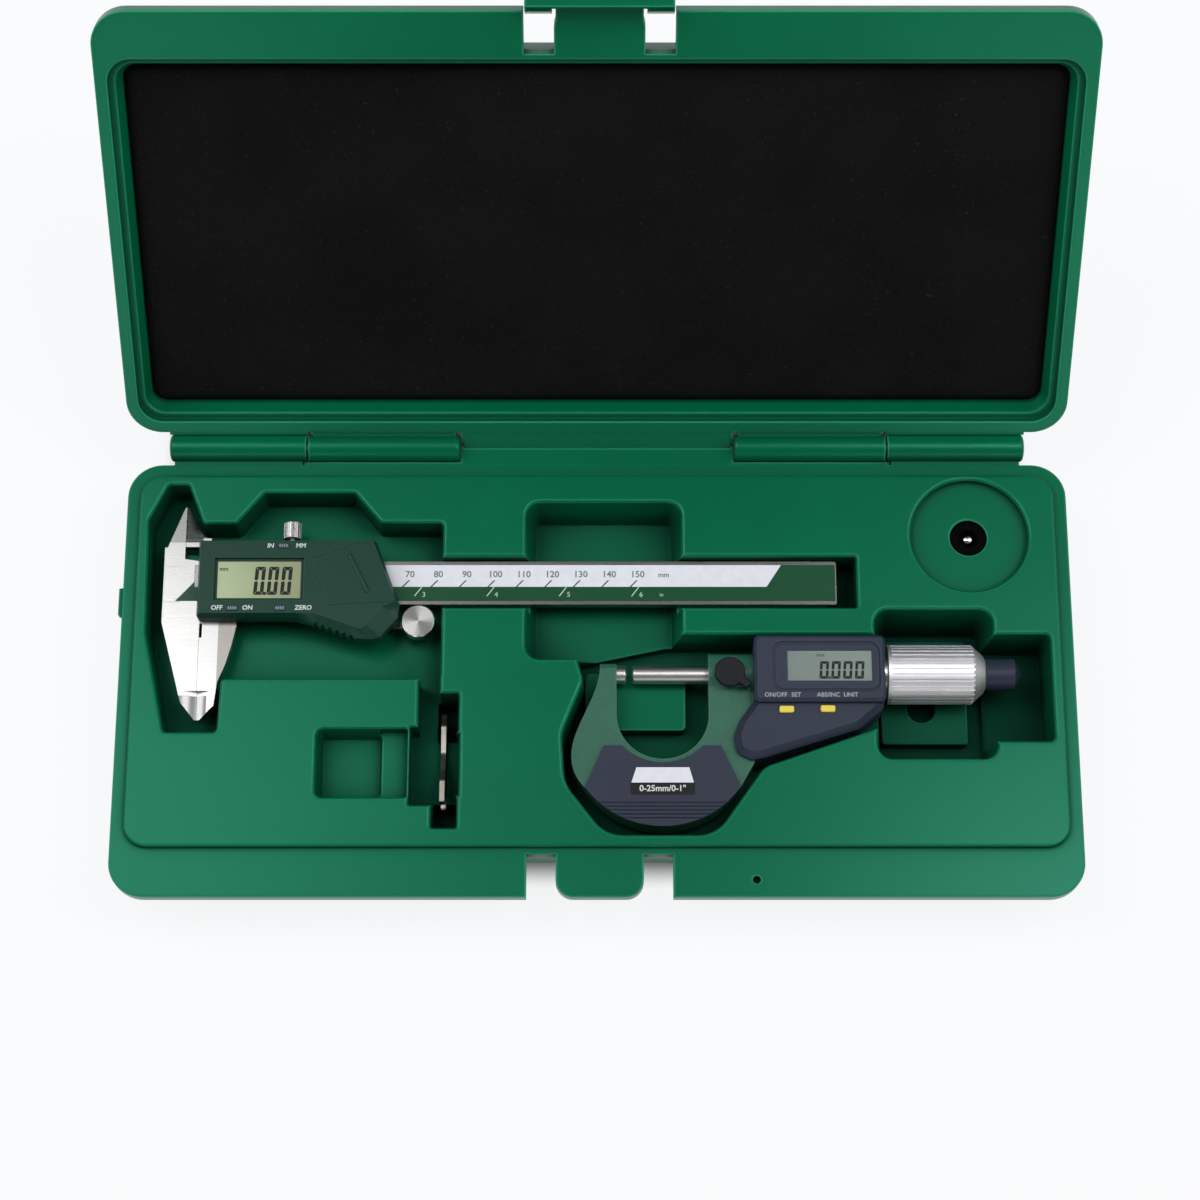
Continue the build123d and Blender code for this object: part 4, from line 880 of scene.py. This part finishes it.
def range_label():
    """White field and measuring range on the bow's label."""
    place = over(micrometer_place, "micrometer_label")
    bottom, top = -40.2, -34.8
    white = [[(10.75, bottom), (32.25, bottom), (30.7, top), (12.5, top)]]
    piece("label_white_field", plates(white, place), band_white, "micrometer")
    words = [("0-25mm/0-1\"", 21.5, -42.3, 3.0, 0.0)]
    piece("measuring_range", lettering(words, place), white_ink, "micrometer")


# ---------------------------------------------------------------- lid: foam pad
foam_cell = 3.0 * mm          # spacing of the points on its face
foam_edge = 1.6 * mm          # rounding of its edge
foam_corner = 5.0 * mm
foam_swell = 0.5 * mm         # how much its face rises and falls
foam_flat_rim = 8 * mm        # from its edge to where it does so fully
wave_along, wave_back = 31.0, 47.0      # waves of its face, in radians for each metre
ripple_along, ripple_back = 67.0, 23.0
wave_start = 0.7


def foam_face_point(x, y, low, middle, half):
    """Point of the pad's face, with its corner rounded, from a point of the rectangle round it."""
    inside = Vector((max(abs(x - middle.x) - half.x + foam_corner, 0),
                     max(abs(y - middle.y) - half.y + foam_corner, 0)))
    if inside.length > foam_corner and inside.x and inside.y:
        inside = inside * (foam_corner / inside.length)
        x = middle.x + math.copysign(half.x - foam_corner + inside.x, x - middle.x)
        y = middle.y + math.copysign(half.y - foam_corner + inside.y, y - middle.y)
    to_corner = foam_corner - inside.length if inside.x and inside.y else half.x
    rim = max(min(half.x - abs(x - middle.x), half.y - abs(y - middle.y), to_corner), 0.0)
    drop = foam_edge * (1 - math.sqrt(max(0.0, 1 - (1 - min(rim / foam_edge, 1.0)) ** 2)))
    wave = 0.5 * foam_swell * (math.sin(x * wave_along + wave_start) * math.cos(y * wave_back)
                               + math.sin(x * ripple_along + y * ripple_back))
    lift = min(rim / foam_flat_rim, 1.0)
    return x, y, low.z + drop + foam_swell * (1 - lift) + (foam_swell * 0.5 + wave * 0.5) * lift


def foam_pad():
    """The lid's foam: a slab with soft edges and a slightly uneven face, in the space of its solid."""
    node = frame["nodes"]["lid_foam"]
    closed = Matrix.Translation(hinge_place) @ Matrix.Rotation(lid_open, 4, "X") @ Matrix.Translation(-hinge_place)
    corners = [closed @ vertex.co for vertex in node.data.vertices]
    low = Vector([min(corner[axis] for corner in corners) for axis in range(3)])
    high = Vector([max(corner[axis] for corner in corners) for axis in range(3)])
    width, depth = high.x - low.x, high.y - low.y
    middle, half = (low + high) / 2, (high - low) / 2
    columns, lines = round(width / foam_cell), round(depth / foam_cell)
    form = bmesh.new()
    rows = []
    for i in range(columns + 1):
        x = low.x + width * i / columns
        rows.append([form.verts.new(foam_face_point(x, low.y + depth * j / lines, low, middle, half))
                     for j in range(lines + 1)])
    for row, after in zip(rows, rows[1:]):
        for j in range(lines):
            form.faces.new((row[j], row[j + 1], after[j + 1], after[j]))
    rim = [row[0] for row in rows] + rows[-1][1:] + [row[-1] for row in rows[-2::-1]] + rows[0][-2:0:-1]
    back_rim = [form.verts.new((vertex.co.x, vertex.co.y, high.z)) for vertex in rim]
    walls(form, rim, back_rim)
    form.faces.new(back_rim)
    bmesh.ops.recalc_face_normals(form, faces=form.faces)
    for face in form.faces:
        face.smooth = len(face.verts) == 4
    form.transform(closed.inverted())
    pad = piece("lid_foam_pad", mesh_of(form, "foam"), finishes["black_foam"], "lid")
    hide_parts("lid_foam")


# ---------------------------------------------------------------- room: floor, world, lamps, camera
def from_case(tree):
    """Distance of the floor's points from the rectangle that keeps its full shadow."""
    beyond = []
    for axis, start, end in (("X", tray_low.x + shade_sides, tray_high.x - shade_sides),
                             ("Y", tray_low.y + shade_front, tray_high.y + shade_behind)):
        offset = math_node(tree, "SUBTRACT", along(tree, axis), (start + end) / 2)
        past = math_node(tree, "SUBTRACT", math_node(tree, "ABSOLUTE", offset), (end - start) / 2)
        beyond.append(math_node(tree, "POWER", math_node(tree, "MAXIMUM", past, 0.0), 2.0))
    return math_node(tree, "SQRT", math_node(tree, "ADD", *beyond))


def floor():
    """Pale floor that catches the case's shadow; away from the case it glows white to the eye."""
    form = bmesh.new()
    bmesh.ops.create_grid(form, x_segments=1, y_segments=1, size=floor_half)
    made = bpy.data.objects.new("floor", mesh_of(form, "floor"))
    bpy.context.scene.collection.objects.link(made)
    material = bpy.data.materials.new("floor")
    material.use_nodes = True
    made.data.materials.append(material)
    tree = material.node_tree
    shader = tree.nodes["Principled BSDF"]
    shader.inputs["Base Color"].default_value = (*floor_colour, 1.0)
    shader.inputs["Roughness"].default_value = 0.9
    shader.inputs["Specular IOR Level"].default_value = 0.0
    glow = tree.nodes.new("ShaderNodeEmission")
    glow.inputs["Color"].default_value = (*studio_white, 1.0)
    rays = tree.nodes.new("ShaderNodeLightPath")
    direct = math_node(tree, "MAXIMUM", rays.outputs["Is Camera Ray"], rays.outputs["Is Transmission Ray"])
    seen = math_node(tree, "MAXIMUM", direct, rays.outputs["Is Glossy Ray"])
    share = product(tree, seen, ramp(tree, from_case(tree), 0.0, shade_reach, 0.0, floor_glow_share))
    blend_shaders(tree, share, shader, glow, "Material Output")


def surroundings():
    """White wall to the eye; its light is pale at the horizon and darker overhead, as between studio lamps."""
    world = bpy.data.worlds.new("studio")
    bpy.context.scene.world = world
    world.use_nodes = True
    tree = world.node_tree
    strength = ramp(tree, along(tree, "Z", "Generated"), 0.05, 0.85, horizon_pale, ceiling_dark)
    light = tree.nodes["Background"]
    tree.links.new(strength, light.inputs["Strength"])
    light.inputs["Color"].default_value = (1.0, 1.0, 1.0, 1.0)
    wall = tree.nodes.new("ShaderNodeBackground")
    wall.inputs["Color"].default_value = (*studio_white, 1.0)
    wall.inputs["Strength"].default_value = wall_glow
    rays = tree.nodes.new("ShaderNodeLightPath")
    seen = math_node(tree, "MAXIMUM", rays.outputs["Is Camera Ray"], rays.outputs["Is Transmission Ray"])
    blend_shaders(tree, seen, light, wall, "World Output")


def lamp(name, place, size, power, aim=(0.0, 0.0, 0.0)):
    """Soft rectangular lamp that faces the aim."""
    light = bpy.data.lights.new(name, "AREA")
    light.shape = "RECTANGLE"
    light.size, light.size_y = size
    light.energy = power
    made = bpy.data.objects.new(name, light)
    made.location = place
    made.rotation_mode = "QUATERNION"
    made.rotation_quaternion = (Vector(aim) - Vector(place)).to_track_quat("-Z", "Y")
    bpy.context.scene.collection.objects.link(made)


def lamps():
    """Two large lamps from the sides and four small ones for the glare."""
    lamp("left_softbox", (*left_lamp_place, lamp_height), side_lamp_size, side_lamp_power)
    lamp("right_softbox", (*right_lamp_place, lamp_height), side_lamp_size, side_lamp_power)
    lamp("left_strip_lamp", (*strip_lamp_place, lamp_height), strip_lamp_size, strip_lamp_power)
    lamp("right_corner_lamp", (*corner_lamp_place, lamp_height), corner_lamp_size, corner_lamp_power)
    lamp("left_rim_lamp", (*left_rim_place, rim_lamp_height), rim_lamp_size, rim_lamp_power, hinge_place)
    lamp("right_rim_lamp", (*right_rim_place, rim_lamp_height), rim_lamp_size, rim_lamp_power, hinge_place)


def camera():
    """Camera in front of the case, looking steeply down on it."""
    lens = bpy.data.cameras.new("camera")
    lens.lens = camera_lens
    lens.sensor_width = camera_sensor
    made = bpy.data.objects.new("camera", lens)
    back = Vector((0, -math.cos(camera_elevation), math.sin(camera_elevation)))
    made.location = camera_target + back * camera_distance
    made.rotation_mode = "QUATERNION"
    made.rotation_quaternion = (-back).to_track_quat("-Z", "Y")
    bpy.context.scene.collection.objects.link(made)
    bpy.context.scene.camera = made


def main():
    bpy.context.scene.view_settings.view_transform = "Standard"
    camera()
    floor()
    surroundings()
    lamps()
    dress_nodes()
    foam_pad()
    caliper_display_marks()
    caliper_labels()
    button_grips()
    caliper_scale_printing()
    micrometer_display_marks()
    micrometer_labels()
    range_label()


main()
